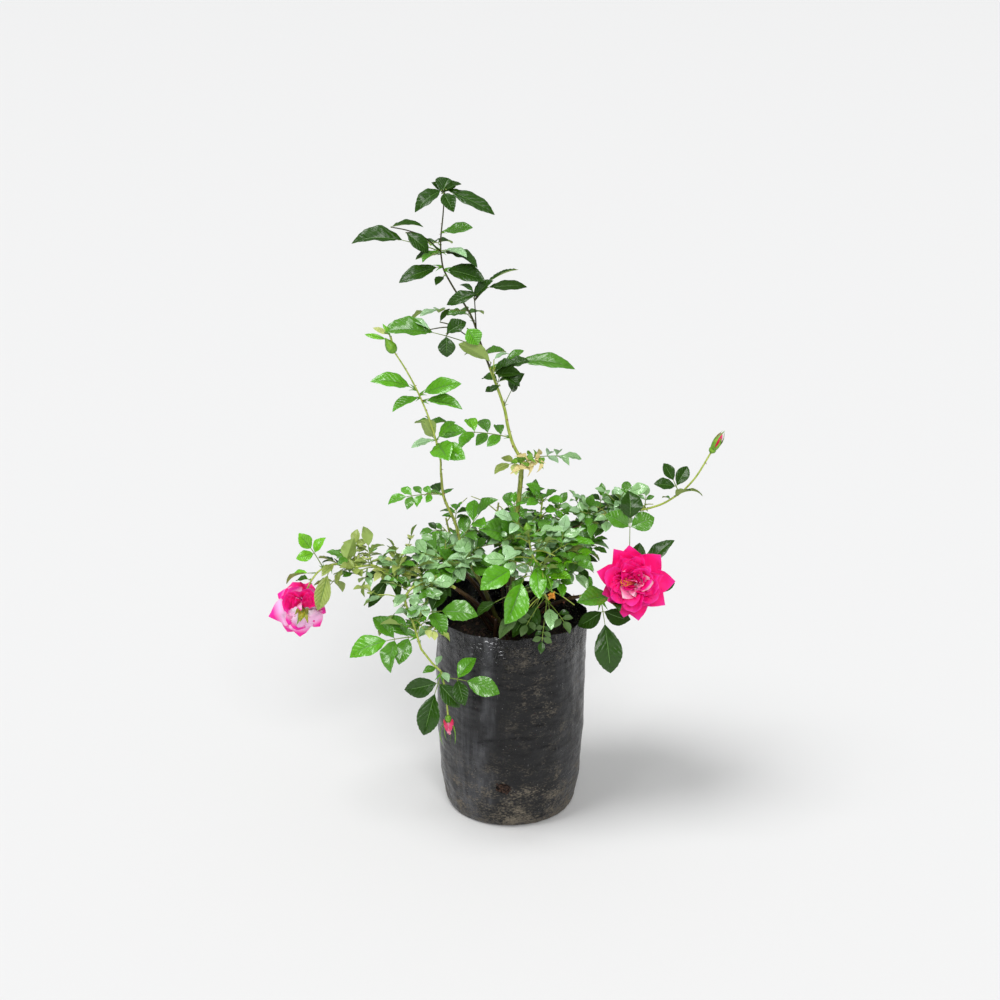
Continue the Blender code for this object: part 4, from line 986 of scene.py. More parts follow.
def add_drum(name: str, segments: int, radius: float, low: float, high: float) -> bpy.types.Object:
    """Adds an upright cylinder and leaves it in edit mode with its upright edges selected.

    Args:
        name: Its name.
        segments: Faces round it.
        radius: Its radius, mm.
        low: Height of its foot, mm.
        high: Height of its top, mm.

    Returns:
        The cylinder.
    """
    depth = high - low
    bpy.ops.mesh.primitive_cylinder_add(vertices=segments, radius=radius * MM, depth=depth * MM,
                                        location=(0, 0, (low + depth / 2) * MM))
    thing = bpy.context.object
    thing.name = name
    bpy.ops.object.transform_apply(location=True)
    bpy.ops.object.mode_set(mode="EDIT")
    pick_parts("edges", lambda edge: abs(edge.verts[0].co.z - edge.verts[1].co.z) > 0.5 * depth * MM)
    return thing


def on_circle(radius: float, angle: float, height: float) -> Vector:
    """The point at a radius, an angle in degrees and a height."""
    return Vector((radius * math.cos(math.radians(angle)), radius * math.sin(math.radians(angle)), height))


def apply_all(thing: bpy.types.Object) -> None:
    """Applies an object's modifiers in order."""
    bpy.context.view_layer.objects.active = thing
    for modifier in list(thing.modifiers):
        bpy.ops.object.modifier_apply(modifier=modifier.name)


# a blade this many faces wide has a narrow rib along its middle
RIBBED_COLUMNS = 6


def skinned_sheet(rows: int, columns: int, outline: Callable[[float], float], thick: float,
                  teeth: float, crown: float, quilt: float = 0.0, slant: float = 0.0) -> bpy.types.Object:
    """A flat blade modelled with an upper and a lower skin that meet round its edge.

    Args:
        rows: Faces along the blade.
        columns: Faces across the blade.
        outline: Half width, up to 0.5, at a share of the length.
        thick: Thickness at its middle.
        teeth: How far the edge points forward on every other row.
        crown: How far the skin rises between the rib and the edge.
        quilt: How far every other row sinks as a vein.
        slant: How far the veins lean towards the tip.

    Returns:
        The modelled object.
    """
    clear_selection()
    bpy.ops.mesh.primitive_grid_add(x_subdivisions=columns, y_subdivisions=rows, size=1, location=(0, 0, 0))
    thing = bpy.context.object
    bpy.ops.object.mode_set(mode="EDIT")
    bpy.ops.transform.translate(value=(0, 0.5, 0))
    for row in range(rows + 1):
        share = row / rows
        pick(lambda co, at=share: abs(co.y - at) < 0.2 / rows)
        bpy.ops.transform.resize(value=(max(2 * outline(share), 1e-6), 1, 1), center_override=(0, share, 0))
    if teeth:
        for row in range(1, rows - 1, 2):
            share = row / rows
            rim = outline(share) * 0.96
            pick(lambda co, at=share, edge=rim: abs(co.y - at) < 0.2 / rows and abs(co.x) > edge)
            bpy.ops.transform.translate(value=(0, teeth / rows, 0))
    if columns == RIBBED_COLUMNS:
        pick(lambda co: 0.2 < abs(co.x) / max(outline(co.y), 1e-3) < 0.45)
        bpy.ops.transform.resize(value=(0.09, 1, 1), center_override=(0, 0, 0))
    pick(lambda co: 0.05 < co.y < 0.93 and 0.45 < abs(co.x) / max(outline(co.y), 1e-3) < 0.9)
    bpy.ops.transform.translate(value=(0, 0, crown))
    if quilt:
        for row in range(1, rows - 1):
            share = row / rows
            pick(lambda co, at=share: abs(co.y - at) < 0.6 * teeth / rows + 0.2 / rows
                 and 0.1 < abs(co.x) / max(outline(at), 1e-3) < 0.95)
            bpy.ops.transform.translate(value=(0, 0, quilt * (-1) ** row))
    build = bmesh.from_edit_mesh(thing.data)
    for vert in build.verts:
        # side veins lean towards the tip
        vert.co.y += slant * abs(vert.co.x) * (1 - vert.co.y)
    count = len(build.verts)
    bpy.ops.mesh.select_all(action="SELECT")
    bpy.ops.mesh.duplicate()
    bpy.ops.mesh.flip_normals()
    build = bmesh.from_edit_mesh(thing.data)
    build.verts.ensure_lookup_table()
    for vert in build.verts:
        vert.select = vert.index >= count and not vert.is_boundary
    build.select_flush_mode()
    bpy.ops.transform.translate(value=(0, 0, -thick))
    bpy.ops.mesh.select_all(action="SELECT")
    bpy.ops.mesh.remove_doubles(threshold=1e-5)
    bpy.ops.object.mode_set(mode="OBJECT")
    return thing


def along_table(stops: list[tuple[float, float]]) -> Callable[[float], float]:
    """A function that reads a value between stops."""
    places = [place for place, _ in stops]
    values = [value for _, value in stops]
    return lambda share: float(np.interp(share, places, values))


# how high, at each x, leaves grown by rule may stand before they close the sky between the canes
SKYLINE = along_table([(-125, 352), (-105, 342), (-60, 340), (-25, 344), (0, 358), (16, 372), (30, 430),
                       (90, 430), (110, 400)])


def leaflet_outline(share: float) -> float:
    """Half width of a leaflet at a share of its length: an ellipse drawn out to a short point."""
    return 0.5 * max(math.sin(math.pi * share ** 0.84), 0.0) ** 0.74 + 0.012 * (share < 0.02)


PETAL_OUTLINE = along_table([(0, 0.08), (0.12, 0.2), (0.28, 0.37), (0.44, 0.48), (0.56, 0.5), (0.7, 0.42),
                             (0.84, 0.25), (0.93, 0.11), (1, 0.01)])
BLUNT_OUTLINE = along_table([(0, 0.08), (0.12, 0.22), (0.28, 0.38), (0.44, 0.47), (0.6, 0.5), (0.76, 0.48),
                             (0.88, 0.39), (0.96, 0.22), (1, 0.05)])
SEPAL_OUTLINE = along_table([(0, 0.38), (0.2, 0.5), (0.45, 0.36), (0.7, 0.18), (0.9, 0.1), (1, 0.02)])


def blade_form(rows: int, columns: int, outline: Callable[[float], float], thick: float,
               teeth: float = 0.0, crown: float = 0.0, quilt: float = 0.0, slant: float = 0.0) -> Form:
    """A blade as arrays: its chart runs across and along it, and its lower skin is side 1.

    Args:
        rows: Faces along the blade.
        columns: Faces across the blade.
        outline: Half width at a share of the length.
        thick: Thickness at its middle.
        teeth: Forward lean of the edge's teeth.
        crown: Rise of the skin beside the rib.
        quilt: Depth of the side veins.
        slant: Lean of the side veins.

    Returns:
        The blade's form.
    """
    thing = skinned_sheet(rows, columns, outline, thick, teeth, crown, quilt, slant)
    rib = 0.03 if columns == RIBBED_COLUMNS else 0.0
    return take_form(thing, lambda points: np.stack([points[:, 0] + 0.5, points[:, 1]], axis=1),
                     lambda mesh: [1 if face.normal.z < 0 else 2 * (abs(face.center.x) < rib
                                                                    and 0.1 < face.center.y < 0.8)
                                   for face in mesh.polygons])


def tube_form(sides: int, rings: int) -> Form:
    """A tube of radius and length 1 along Z, to be bent along a path.

    Args:
        sides: Faces round it.
        rings: Faces along it.

    Returns:
        The tube's form.
    """
    clear_selection()
    bpy.ops.mesh.primitive_cylinder_add(vertices=sides, radius=1, depth=1, location=(0, 0, 0.5))
    thing = bpy.context.object
    bpy.ops.object.transform_apply(location=True, rotation=False, scale=False)
    bpy.ops.object.mode_set(mode="EDIT")
    pick_parts("edges", lambda edge: abs(edge.verts[0].co.z - edge.verts[1].co.z) > 0.5)
    bpy.ops.mesh.subdivide(number_cuts=rings - 1)
    bpy.ops.object.mode_set(mode="OBJECT")
    return take_form(thing, lambda points: points[:, :2] * 0.5 + 0.5, lambda mesh: [0] * len(mesh.polygons))


def round_form(rings: int, segments: int, profile: Callable[[float], float]) -> Form:
    """A round body of length 1 along Z, shaped ring by ring.

    Args:
        rings: Rings along it.
        segments: Faces round it.
        profile: Its radius at a share of its length.

    Returns:
        The body's form.
    """
    clear_selection()
    bpy.ops.mesh.primitive_uv_sphere_add(segments=segments, ring_count=rings, radius=0.5)
    thing = bpy.context.object
    bpy.ops.object.mode_set(mode="EDIT")
    bpy.ops.transform.translate(value=(0, 0, 0.5))
    for ring in range(1, rings):
        height = 0.5 - 0.5 * math.cos(math.pi * ring / rings)
        round_here = 0.5 * math.sin(math.pi * ring / rings)
        pick(lambda co, at=height: abs(co.z - at) < 1e-4)
        grow = profile(height) / round_here
        bpy.ops.transform.resize(value=(grow, grow, 1), center_override=(0, 0, height))
    bpy.ops.object.mode_set(mode="OBJECT")
    return take_form(thing, lambda points: points[:, :2] + 0.5, lambda mesh: [0] * len(mesh.polygons))


def lump_form(seed: int) -> Form:
    """A small rough lump of about unit size."""
    clear_selection()
    bpy.ops.mesh.primitive_ico_sphere_add(subdivisions=2, radius=0.5, location=(0, 0, 0))
    thing = bpy.context.object
    for vert in thing.data.vertices:
        vert.co *= 1 + 0.5 * noise.noise(vert.co * 3 + Vector((seed, 0, 0)))
    return take_form(thing, lambda points: points[:, :2] + 0.5, lambda mesh: [0] * len(mesh.polygons))


class Heap:
    """Copies of the shared forms, gathered as arrays and joined into one mesh."""

    def __init__(self, forms: dict[str, Form]) -> None:
        """Starts empty.

        Args:
            forms: The shared forms by name.
        """
        self.forms = forms
        self.points: list[np.ndarray] = []
        self.corners: list[np.ndarray] = []
        self.starts: list[np.ndarray] = []
        self.slots: list[np.ndarray] = []
        self.chart: list[np.ndarray] = []
        self.point_count = 0
        self.corner_count = 0

    def add(self, form: Form, points: np.ndarray, slots: tuple) -> None:
        """Adds one copy.

        Args:
            form: The form that it copies.
            points: The copy's points, mm.
            slots: The material slots of the upper side, the lower side and, if it has its own, the rib.
        """
        self.points.append(points)
        self.corners.append(form.corners + self.point_count)
        self.starts.append(form.starts + self.corner_count)
        self.slots.append(np.array(slots if len(slots) > 2 else (*slots, slots[0]))[form.sides])
        self.chart.append(form.chart[form.corners])
        self.point_count += len(points)
        self.corner_count += len(form.corners)

    def tube(self, name: str, path: list, radii: tuple[float, float], slot: int,
             swell: Callable[[float], float] | None = None) -> None:
        """Adds a tube bent along a path."""
        form = self.forms[name]
        self.add(form, bent_along(form, path, radii, swell), (slot, slot))

    def stand(self, name: str, foot: Vector, along: Vector, across: Vector, size: tuple, slot: int) -> None:
        """Adds a form stood on its foot, with its Z along a direction."""
        form = self.forms[name]
        self.add(form, stood_on(form, foot, along, across, size), (slot, slot))

    def lay(self, name: str, blade: "Blade", *slots: int) -> None:
        """Adds a blade form, laid as its row says."""
        form = self.forms[name]
        self.add(form, blade.lay(form), slots)

    def build(self, name: str, materials: list, sharp: float = 100) -> bpy.types.Object:
        """Joins the copies.

        Args:
            name: The piece's name.
            materials: Its materials, in slot order.
            sharp: Edges that turn by more degrees than this stay sharp.

        Returns:
            The joined piece, at the origin.
        """
        mesh = bpy.data.meshes.new(name)
        points = np.concatenate(self.points) * MM
        corners = np.concatenate(self.corners)
        starts = np.concatenate(self.starts)
        mesh.vertices.add(len(points))
        mesh.loops.add(len(corners))
        mesh.polygons.add(len(starts))
        mesh.vertices.foreach_set("co", points.astype(np.float32).ravel())
        mesh.loops.foreach_set("vertex_index", corners.astype(np.int32))
        mesh.polygons.foreach_set("loop_start", starts.astype(np.int32))
        mesh.polygons.foreach_set("material_index", np.concatenate(self.slots).astype(np.int32))
        chart = mesh.uv_layers.new(name="chart")
        chart.data.foreach_set("uv", np.concatenate(self.chart).astype(np.float32).ravel())
        mesh.update(calc_edges=True)
        mesh.validate()
        for material in materials:
            mesh.materials.append(material)
        thing = bpy.data.objects.new(name, mesh)
        bpy.context.scene.collection.objects.link(thing)
        clear_selection()
        thing.select_set(True)
        bpy.context.view_layer.objects.active = thing
        bpy.ops.object.shade_smooth_by_angle(angle=math.radians(sharp))
        return thing


def drawn(draw: random.Random, *ranges: tuple[float, float]) -> Vector:
    """A vector with each part drawn from its own range."""
    return Vector([draw.uniform(*ends) for ends in ranges])


def turned(vector: Vector, angle: float, axis: Vector) -> Vector:
    """A vector turned round an axis by an angle in radians."""
    return Matrix.Rotation(angle, 3, axis) @ vector


def length_of(path: list[Vector]) -> float:
    """The length of a path."""
    return sum((b - a).length for a, b in zip(path, path[1:]))


def bent_along(form: Form, path: list[Vector], radii: tuple[float, float],
               swell: Callable[[float], float] | None = None) -> np.ndarray:
    """A tube form bent along a path.

    Args:
        form: The tube's form.
        path: The path's points, mm.
        radii: Radius at its foot and at its tip.
        swell: Extra share of the radius at a share of the length.

    Returns:
        The bent points.
    """
    line = np.array([tuple(p) for p in path])
    steps = np.linalg.norm(np.diff(line, axis=0), axis=1)
    lengths = np.concatenate([[0], np.cumsum(steps)])
    levels = np.unique(np.round(form.points[:, 2], 5))
    places = np.stack([np.interp(levels * lengths[-1], lengths, line[:, i]) for i in range(3)], axis=1)
    side = Vector(places[1] - places[0]).normalized().orthogonal().normalized()
    out = np.empty_like(form.points)
    for index, level in enumerate(levels):
        ahead = places[min(index + 1, len(levels) - 1)]
        behind = places[max(index - 1, 0)]
        along = Vector(ahead - behind).normalized()
        side = square_to(side, along)
        other = along.cross(side)
        radius = radii[0] + (radii[1] - radii[0]) * level
        if swell:
            radius *= 1 + swell(level)
        here = np.abs(form.points[:, 2] - level) < 1e-4
        ring = form.points[here]
        out[here] = places[index] + radius * (ring[:, :1] * np.array(side) + ring[:, 1:2] * np.array(other))
    return out


def stood_on(form: Form, foot: Vector, along: Vector, across: Vector, size: tuple) -> np.ndarray:
    """A form with its Z turned along a direction.

    Args:
        form: The form.
        foot: Where its origin goes, mm.
        along: The way its Z points.
        across: Roughly the way its X points.
        size: Its size along X, Y and Z, mm.

    Returns:
        The placed points.
    """
    along = along.normalized()
    side = square_to(across, along)
    other = along.cross(side)
    points = form.points * np.array(size)
    return np.array(foot) + points[:, :1] * np.array(side) + points[:, 1:2] * np.array(other) \
        + points[:, 2:] * np.array(along)


@dataclass
class Blade:
    """How one copy of a blade is laid: its rib, its size, and how it folds, curls and twists."""

    root: Vector
    tip: Vector
    up: Vector
    width: float
    fold: float = 0.2
    curl: float = 0.1
    twist: float = 0.0
    ripple: float = 0.0
    phase: float = 0.0
    cup: float = 0.0
    recurve: float = 0.0
    bulge: float = 0.0

    def lay(self, form: Form) -> np.ndarray:
        """The form's points laid along this blade.

        Args:
            form: The blade's form.

        Returns:
            The laid points, mm.
        """
        along = (self.tip - self.root).normalized()
        length = (self.tip - self.root).length
        up = square_to(self.up, along)
        side = along.cross(up)
        across, share, rise = form.points.T
        x = across * self.width
        z = rise * length + np.abs(x) * self.fold
        x = x * math.cos(math.atan(self.fold))
        curl = self.curl * length
        z = z - curl * (share - share * (1 - share) * 0.5) ** 2 + curl * share * 0.35
        z = z + self.ripple * self.width * np.sin(share * 17 + self.phase + 1.3 * np.sign(across)) \
            * (2 * np.abs(across)) ** 2
        z = z + self.cup * self.width * (2 * across) ** 2 * np.sin(np.pi * (0.12 + 0.76 * share))
        z = z - self.recurve * length * np.maximum(share - 0.55, 0) ** 2 * 2 \
            + self.bulge * np.sin(np.pi * share)
        turn = self.twist * share
        turned_x = x * np.cos(turn) - z * np.sin(turn)
        turned_z = x * np.sin(turn) + z * np.cos(turn)
        return np.array(self.root) + np.outer(share * length, np.array(along)) \
            + np.outer(turned_x, np.array(side)) + np.outer(turned_z, np.array(up))


# ---- the plant ----------------------------------------------------------------------------------
def model_forms() -> dict[str, Form]:
    """Models each shared form once.

    Returns:
        The forms by name.
    """
    pointed = along_table([(0, 0.2), (0.12, 0.4), (0.35, 0.5), (0.6, 0.4), (0.85, 0.16), (1, 0.04)])
    hooked = along_table([(0, 0.6), (0.3, 0.3), (0.7, 0.12), (1, 0.02)])
    return {
        "leaflet": blade_form(18, RIBBED_COLUMNS, leaflet_outline, 0.012, 0.4, 0.03, 0.012, 0.28),
        "small_leaflet": blade_form(8, 4, leaflet_outline, 0.014, 0.4, 0.03, 0.01, 0.25),
        "petal": blade_form(14, 8, PETAL_OUTLINE, 0.014),
        "blunt_petal": blade_form(14, 8, BLUNT_OUTLINE, 0.014),
        "sepal": blade_form(6, 2, SEPAL_OUTLINE, 0.03),
        "stem": tube_form(10, 60),
        "rachis": tube_form(6, 8),
        "stalk": tube_form(5, 2),
        "prickle": round_form(4, 5, hooked),
        "bud": round_form(12, 12, pointed),
        "lump": lump_form(3),
    }


@dataclass
class Palette:
    """Every material, made once."""

    tops: list
    under: bpy.types.Material
    rib: bpy.types.Material
    made: dict

    @classmethod
    def mix(cls) -> "Palette":
        """Makes the materials."""
        tops = [TOP_SKINS[tint].material() for tint in Tint]
        under, rib = UNDERSIDE.material(), MIDRIB.material()
        return cls(tops, under, rib, {skin.name: skin.material() for skin in (*SKINS, *BARKS.values())})

    def leaf_materials(self) -> list:
        """The materials of a leaf piece: each tint's top, the underside and the rib."""
        return self.tops + [self.under, self.rib]

    def some(self, *names: str) -> list:
        """Materials by name, in slot order."""
        return [self.made[name] for name in names]

    def bark(self, limb: str) -> bpy.types.Material:
        """The bark of a limb: brown on canes and green on shoots, unless the table says otherwise."""
        return self.made[BARKS[LIMB_BARKS.get(limb, "brown" if limb in CANES else "green")].name]


TINT_SLOTS = {tint.value: index for index, tint in enumerate(Tint)}
UNDER_SLOT = len(TINT_SLOTS)
RIB_SLOT = UNDER_SLOT + 1
# the material slots of a mass's twigs
BARK, GREEN_STALK, PRICKLES, GREEN_BUD, WITHERED_BUD = range(5)
# tints that one leaf's leaflets mix
NEAR_TINTS = {"y": "yyyf", "f": "ffffmy", "m": "mmmfd", "d": "dddmk", "k": "kkkd", "b": "bbbmg", "o": "ooop",
              "p": "pppo", "g": "gggb", "s": "ssssd"}


@dataclass
class LeafBuilder:
    """Grows one pinnate leaf: rachis, stalks, stipules and serrate leaflets."""

    blades: Heap
    twigs: Heap
    draw: random.Random
    small_blade: float = 19
    rachis_radii: tuple = (RACHIS_RADIUS * 0.62 * 1.15, RACHIS_RADIUS * 0.62 * 0.7)

    def grow(self, leaf: Leaf, base: Vector, tip: Vector) -> None:
        """Adds a leaf to the heaps.

        Args:
            leaf: The leaf's row.
            base: Where it leaves its stem, mm.
            tip: Where its end leaflet ends, mm.
        """
        reach = (tip - base).length
        share = 0.96 if leaf.start else 0.82 if leaf.pairs else 0.9
        blade = min(leaf.blade * (1.0 if leaf.pairs else 1.1), share * reach)
        ends = 1 - blade / reach
        bend = base.lerp(tip, 0.5) + Vector((0, 0, 0.10 * reach))
        normal = look_normal(leaf.look)

        def at(t: float) -> Vector:
            """The point of the rachis at t."""
            return base * (1 - t) ** 2 + bend * 2 * t * (1 - t) + tip * t ** 2

        path = [at(ends * step / 8) for step in range(9)]
        self.twigs.tube("rachis", path, self.rachis_radii, GREEN_STALK)
        rachis = ends * reach
        for pair in range(leaf.pairs):
            place = pair + 0.62
            share = 1 - min(place * LEAFLET_SPACING * blade / rachis, 0.9 * place / leaf.pairs)
            t = share * ends
            along = ((bend - base) * (1 - t) + (tip - bend) * t).normalized()
            up = square_to(normal, along)
            for hand in (-1, 1):
                length = blade * leaf.side * (1 - 0.1 * pair) * self.draw.uniform(0.93, 1.06)
                angle = hand * (SIDE_LEAFLET_ANGLE + self.draw.uniform(-7, 5))
                out = turned(along, math.radians(angle), up)
                root = at(t) + out * length * 0.05
                self.leaflet(leaf, root, at(t) + out * length, normal, leaf.wide * length, at(t))
        self.leaflet(leaf, at(ends), tip, normal, leaf.wide * blade, None)
        if not leaf.start:
            self.stipules(path, normal, blade)

    def leaflet(self, leaf: Leaf, root: Vector, tip: Vector, normal: Vector, width: float,
                joint: Vector | None) -> None:
        """Adds a leaflet.

        Args:
            leaf: Its leaf's row.
            root: Where its blade starts.
            tip: Where its blade ends.
            normal: The way its upper side faces.
            width: Its widest.
            joint: Where its own stalk leaves the rachis, if it has one.
        """
        draw = self.draw
        form = "leaflet" if (tip - root).length > self.small_blade else "small_leaflet"
        sway = drawn(draw, (-1, 1), (-1, 1), (-1, 1)) * 0.16
        blade = Blade(root, tip, normal + sway, width, fold=draw.uniform(0.15, 0.6),
                      curl=draw.uniform(0.08, 0.4), twist=draw.uniform(-0.4, 0.4),
                      ripple=draw.uniform(0.02, 0.065), phase=draw.uniform(0, 6))
        near = draw.choice(NEAR_TINTS[leaf.tint])
        self.blades.lay(form, blade, TINT_SLOTS[near if leaf.pairs else leaf.tint], UNDER_SLOT, RIB_SLOT)
        if joint:
            self.twigs.tube("stalk", [joint, root.lerp(tip, 0.06)], (0.42, 0.3), GREEN_STALK)

    def stipules(self, path: list[Vector], normal: Vector, blade: float) -> None:
        """Adds the pair of narrow wings at a leaf's foot."""
        along = (path[1] - path[0]).normalized()
        up = square_to(normal, along)
        for hand in (-1, 1):
            out = turned(along, math.radians(hand * 24), up)
            wing = Blade(path[0], path[0] + out * blade * 0.26, normal, blade * 0.07, fold=0.1, curl=0.2)
            self.blades.lay("sepal", wing, TINT_SLOTS["f"], UNDER_SLOT)


@dataclass
class FoliageMass:
    """A mass of foliage: its stem with prickles, and its leaves and buds."""

    name: str
    spray: Spray
    growth: Growth
    forms: dict[str, Form]
    palette: Palette
    # where the leaves of the front mass would stand before the single leaves there
    front_limit: float = -74

    def __post_init__(self) -> None:
        """Reads the mass's solid, mm: a search tree and its box."""
        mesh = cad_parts[self.name].data
        spots = [v.co / MM for v in mesh.vertices]
        self.tree = BVHTree.FromPolygons(spots, [tuple(f.vertices) for f in mesh.polygons])
        self.low, self.high = ([end(spot[i] for spot in spots) for i in range(3)] for end in (min, max))

    def build(self) -> list[bpy.types.Object]:
        """Grows the mass.

        Returns:
            Its pieces: blades first, then twigs.
        """
        path = self.growth.fine[self.name]
        blades = Heap(self.forms)
        twigs = Heap(self.forms)
        thin = SLENDER.get(self.name, 1.0)
        twigs.tube("stem", path, (self.spray.foot * thin, self.spray.tip * thin), BARK)
        leaves = [Leaf(*row) for row in self.spray.leaves]
        for index, leaf in enumerate(leaves + self.rule_leaves()):
            base = point_along(path, leaf.at)[0]
            tip = self.solid_tip(leaf)
            if leaf.ruled and (tip is None or self.shuts_sky(tip)):
                continue
            draw = random.Random(f"{self.name}-leaf-{index}")
            if leaf.start:
                stops = [base] + [Vector(spot) for spot in (leaf.fork, leaf.start) if spot]
                for low, high in zip(stops, stops[1:]):
                    line = [low, low.lerp(high, 0.5) + Vector((0, 0, 1)), high]
                    twigs.tube("rachis", smooth_path(line, 4), (0.75, 0.6), BARK)
                base, tip = stops[-1], Vector(leaf.tip)
            LeafBuilder(blades, twigs, draw).grow(leaf, base, tip or Vector(leaf.tip))
        self.thicken(blades, twigs, path)
        add_prickles(twigs, self.name, path, (self.spray.foot, self.spray.tip), PRICKLES)
        self.add_knobs(twigs, path)
        leaf_piece = blades.build(self.name + "_leaves", self.palette.leaf_materials())
        twig_piece = twigs.build(self.name + "_twigs", [self.palette.bark(self.name)] + self.palette.some(
            "green_leaf_stalk", "rose_prickle", "green_bud", "withered_bud"))
        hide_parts(self.name)
        for piece, slot in ((leaf_piece, "leaf"), (twig_piece, "cane")):
            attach(piece, "root")
        return [leaf_piece, twig_piece]

    def rule_leaves(self) -> list[Leaf]:
        """Leaves set round the stem by the golden angle, each drawn with its own seed.

        Returns:
            The leaves' rows.
        """
        rule = self.spray.fill
        if rule is None:
            return []
        leaves = []
        path = self.growth.coarse[self.name]
        for index in range(rule.count):
            draw = random.Random(f"{self.name}-{index}")
            share = 0.08 + 0.9 * index / max(1, rule.count - 1)
            turn = (index * GOLDEN_ANGLE % 360) / 360 - 0.5
            azimuth = math.radians(rule.facing + rule.spread * 2 * turn)
            rise = rule.drop + draw.uniform(-0.35, 0.75) + 0.5 * share
            out = Vector((math.cos(azimuth), math.sin(azimuth), rise)).normalized()
            base, _ = point_along(path, share)
            tip = base + out * rule.reach * draw.uniform(0.75, 1.1)
            look = 90 + draw.uniform(-25, 25)
            blade = rule.blade * draw.uniform(0.85, 1.1)
            tint = draw.choice(rule.tints)
            leaves.append(Leaf(share, tuple(tip), rule.pairs, blade, look, tint, ruled=True))
        return leaves

    def solid_tip(self, leaf: Leaf) -> Vector | None:
        """Where the leaf's tip lies in the solid.

        Args:
            leaf: The leaf's row.

        Returns:
            The tip at the ease step that meets the solid, or None if none does.
        """
        base, _ = point_along(self.growth.coarse[self.name], leaf.at)
        normal = look_normal(leaf.look)
        for step in EASE_STEPS:
            tip = Vector(leaf.tip) + EASE_DIRECTION * step
            reach = (tip - base).length
            blade = min(leaf.blade, 0.82 * reach)
            t = 1 - blade / reach
            bend = base.lerp(tip, 0.5) + Vector((0, 0, 0.10 * reach))
            root = base * (1 - t) ** 2 + bend * 2 * t * (1 - t) + tip * t ** 2
            along = (tip - root).normalized()
            up = square_to(normal, along)
            width = leaf.wide * blade
            top = root + along * blade * 0.44 + up * (LEAFLET_THICKNESS / 2 - 0.1 * width)
            near = [self.tree.find_nearest(spot)[3] for spot in (top, tip)]
            if min(near) < SAME_LEAF * 0.5 and max(near) < SAME_LEAF * 2:
                return tip
        return None

    def shuts_sky(self, tip: Vector) -> bool:
        """Whether a leaf's tip stands in the open sky between the canes, seen from the front."""
        if not self.name.endswith(("centre_foliage", "back_left_foliage", "back_foliage")):
            return False
        return tip.z + SIGHT_SLOPE * tip.y > SKYLINE(tip.x)

    def thicken(self, blades: Heap, twigs: Heap, path: list[Vector]) -> None:
        """Carries the mass on to finer twigs with small leaves, inside its solid's reach.

        Args:
            blades: The heap of blades.
            twigs: The heap of twigs.
            path: The stem's path.
        """
        thicket = THICKETS.get(self.name)
        if thicket is None:
            return
        for index in range(thicket.twigs):
            draw = random.Random(f"{self.name}-twig-{index}")
            base, _ = point_along(path, (index + 0.5) / thicket.twigs)
            aside = (index * GOLDEN_ANGLE % 360 - 180) * thicket.spread / 180
            azimuth = math.radians(thicket.facing + aside)
            out = Vector((math.cos(azimuth), math.sin(azimuth), draw.uniform(-0.45, 0.7))).normalized()
            end = base + out * thicket.reach * draw.uniform(0.5, 0.95)
            line = [base, base.lerp(end, 0.5) + Vector((0, 0, 3)), end]
            twigs.tube("rachis", smooth_path(line, 4), (0.8, 0.5), BARK)
            for step, at in enumerate((0.45, 0.75, 1.0)):
                root, _ = point_along(line, at)
                turn = (index * 3 + step) * GOLDEN_ANGLE
                side = turned(out.orthogonal().normalized(), math.radians(turn), out)
                reach = thicket.blade * draw.uniform(1.4, 1.8)
                way = side + out * (0.4 + step * 0.5) + Vector((0, -0.25, 0.2))
                tip = root + way.normalized() * reach
                inside = all(self.low[i] + 1 < tip[i] < self.high[i] - 1 for i in range(3))
                if not inside or self.shuts_sky(tip):
                    continue
                if self.name == "front_foliage" and tip.y < self.front_limit:
                    continue
                leaf = Leaf(at, tuple(tip), 1 + draw.randint(0, 1), thicket.blade * draw.uniform(0.8, 1.15),
                            draw.uniform(35, 105), draw.choice(thicket.tints))
                LeafBuilder(blades, twigs, draw).grow(leaf, root, tip)

    def add_knobs(self, twigs: Heap, path: list[Vector]) -> None:
        """Adds the buds of the mass; the low one in front has withered."""
        for share, radius, length in self.spray.knobs:
            centre, along = point_along(path, share)
            if share >= 1:
                centre = centre + along * length * 0.4
            slot = WITHERED_BUD if self.name == "front_foliage" and share < 1 else GREEN_BUD
            twigs.stand("bud", centre - along * length * 0.55, along, Vector((1, 0, 0)),
                        (radius * 2, radius * 2, length * 1.15), slot)


def add_prickles(twigs: Heap, seed: str, path: list[Vector], radii: tuple[float, float], slot: int,
                 spacing: float = 17) -> None:
    """Sets hooked prickles along a stem.

    Args:
        twigs: The heap to add to.
        seed: What the places are drawn from.
        path: The stem's path.
        radii: The stem's radii.
        slot: The prickles' material slot.
        spacing: Mean distance between prickles, mm.
    """
    draw = random.Random(seed + "-prickles")
    count = int(length_of(path) / spacing)
    for index in range(count):
        share = (index + draw.uniform(0.2, 0.8)) / count
        centre, along = point_along(path, share)
        out = square_to(drawn(draw, (-1, 1), (-1, 1), (-0.5, 0.5)), along)
        radius = radii[0] + (radii[1] - radii[0]) * share
        size = draw.uniform(2.2, 3.6) * (0.6 + 0.2 * radius)
        twigs.stand("prickle", centre + out * radius * 0.7, out - along * 0.45, along,
                    (size * 0.4, size * 0.8, size), slot)


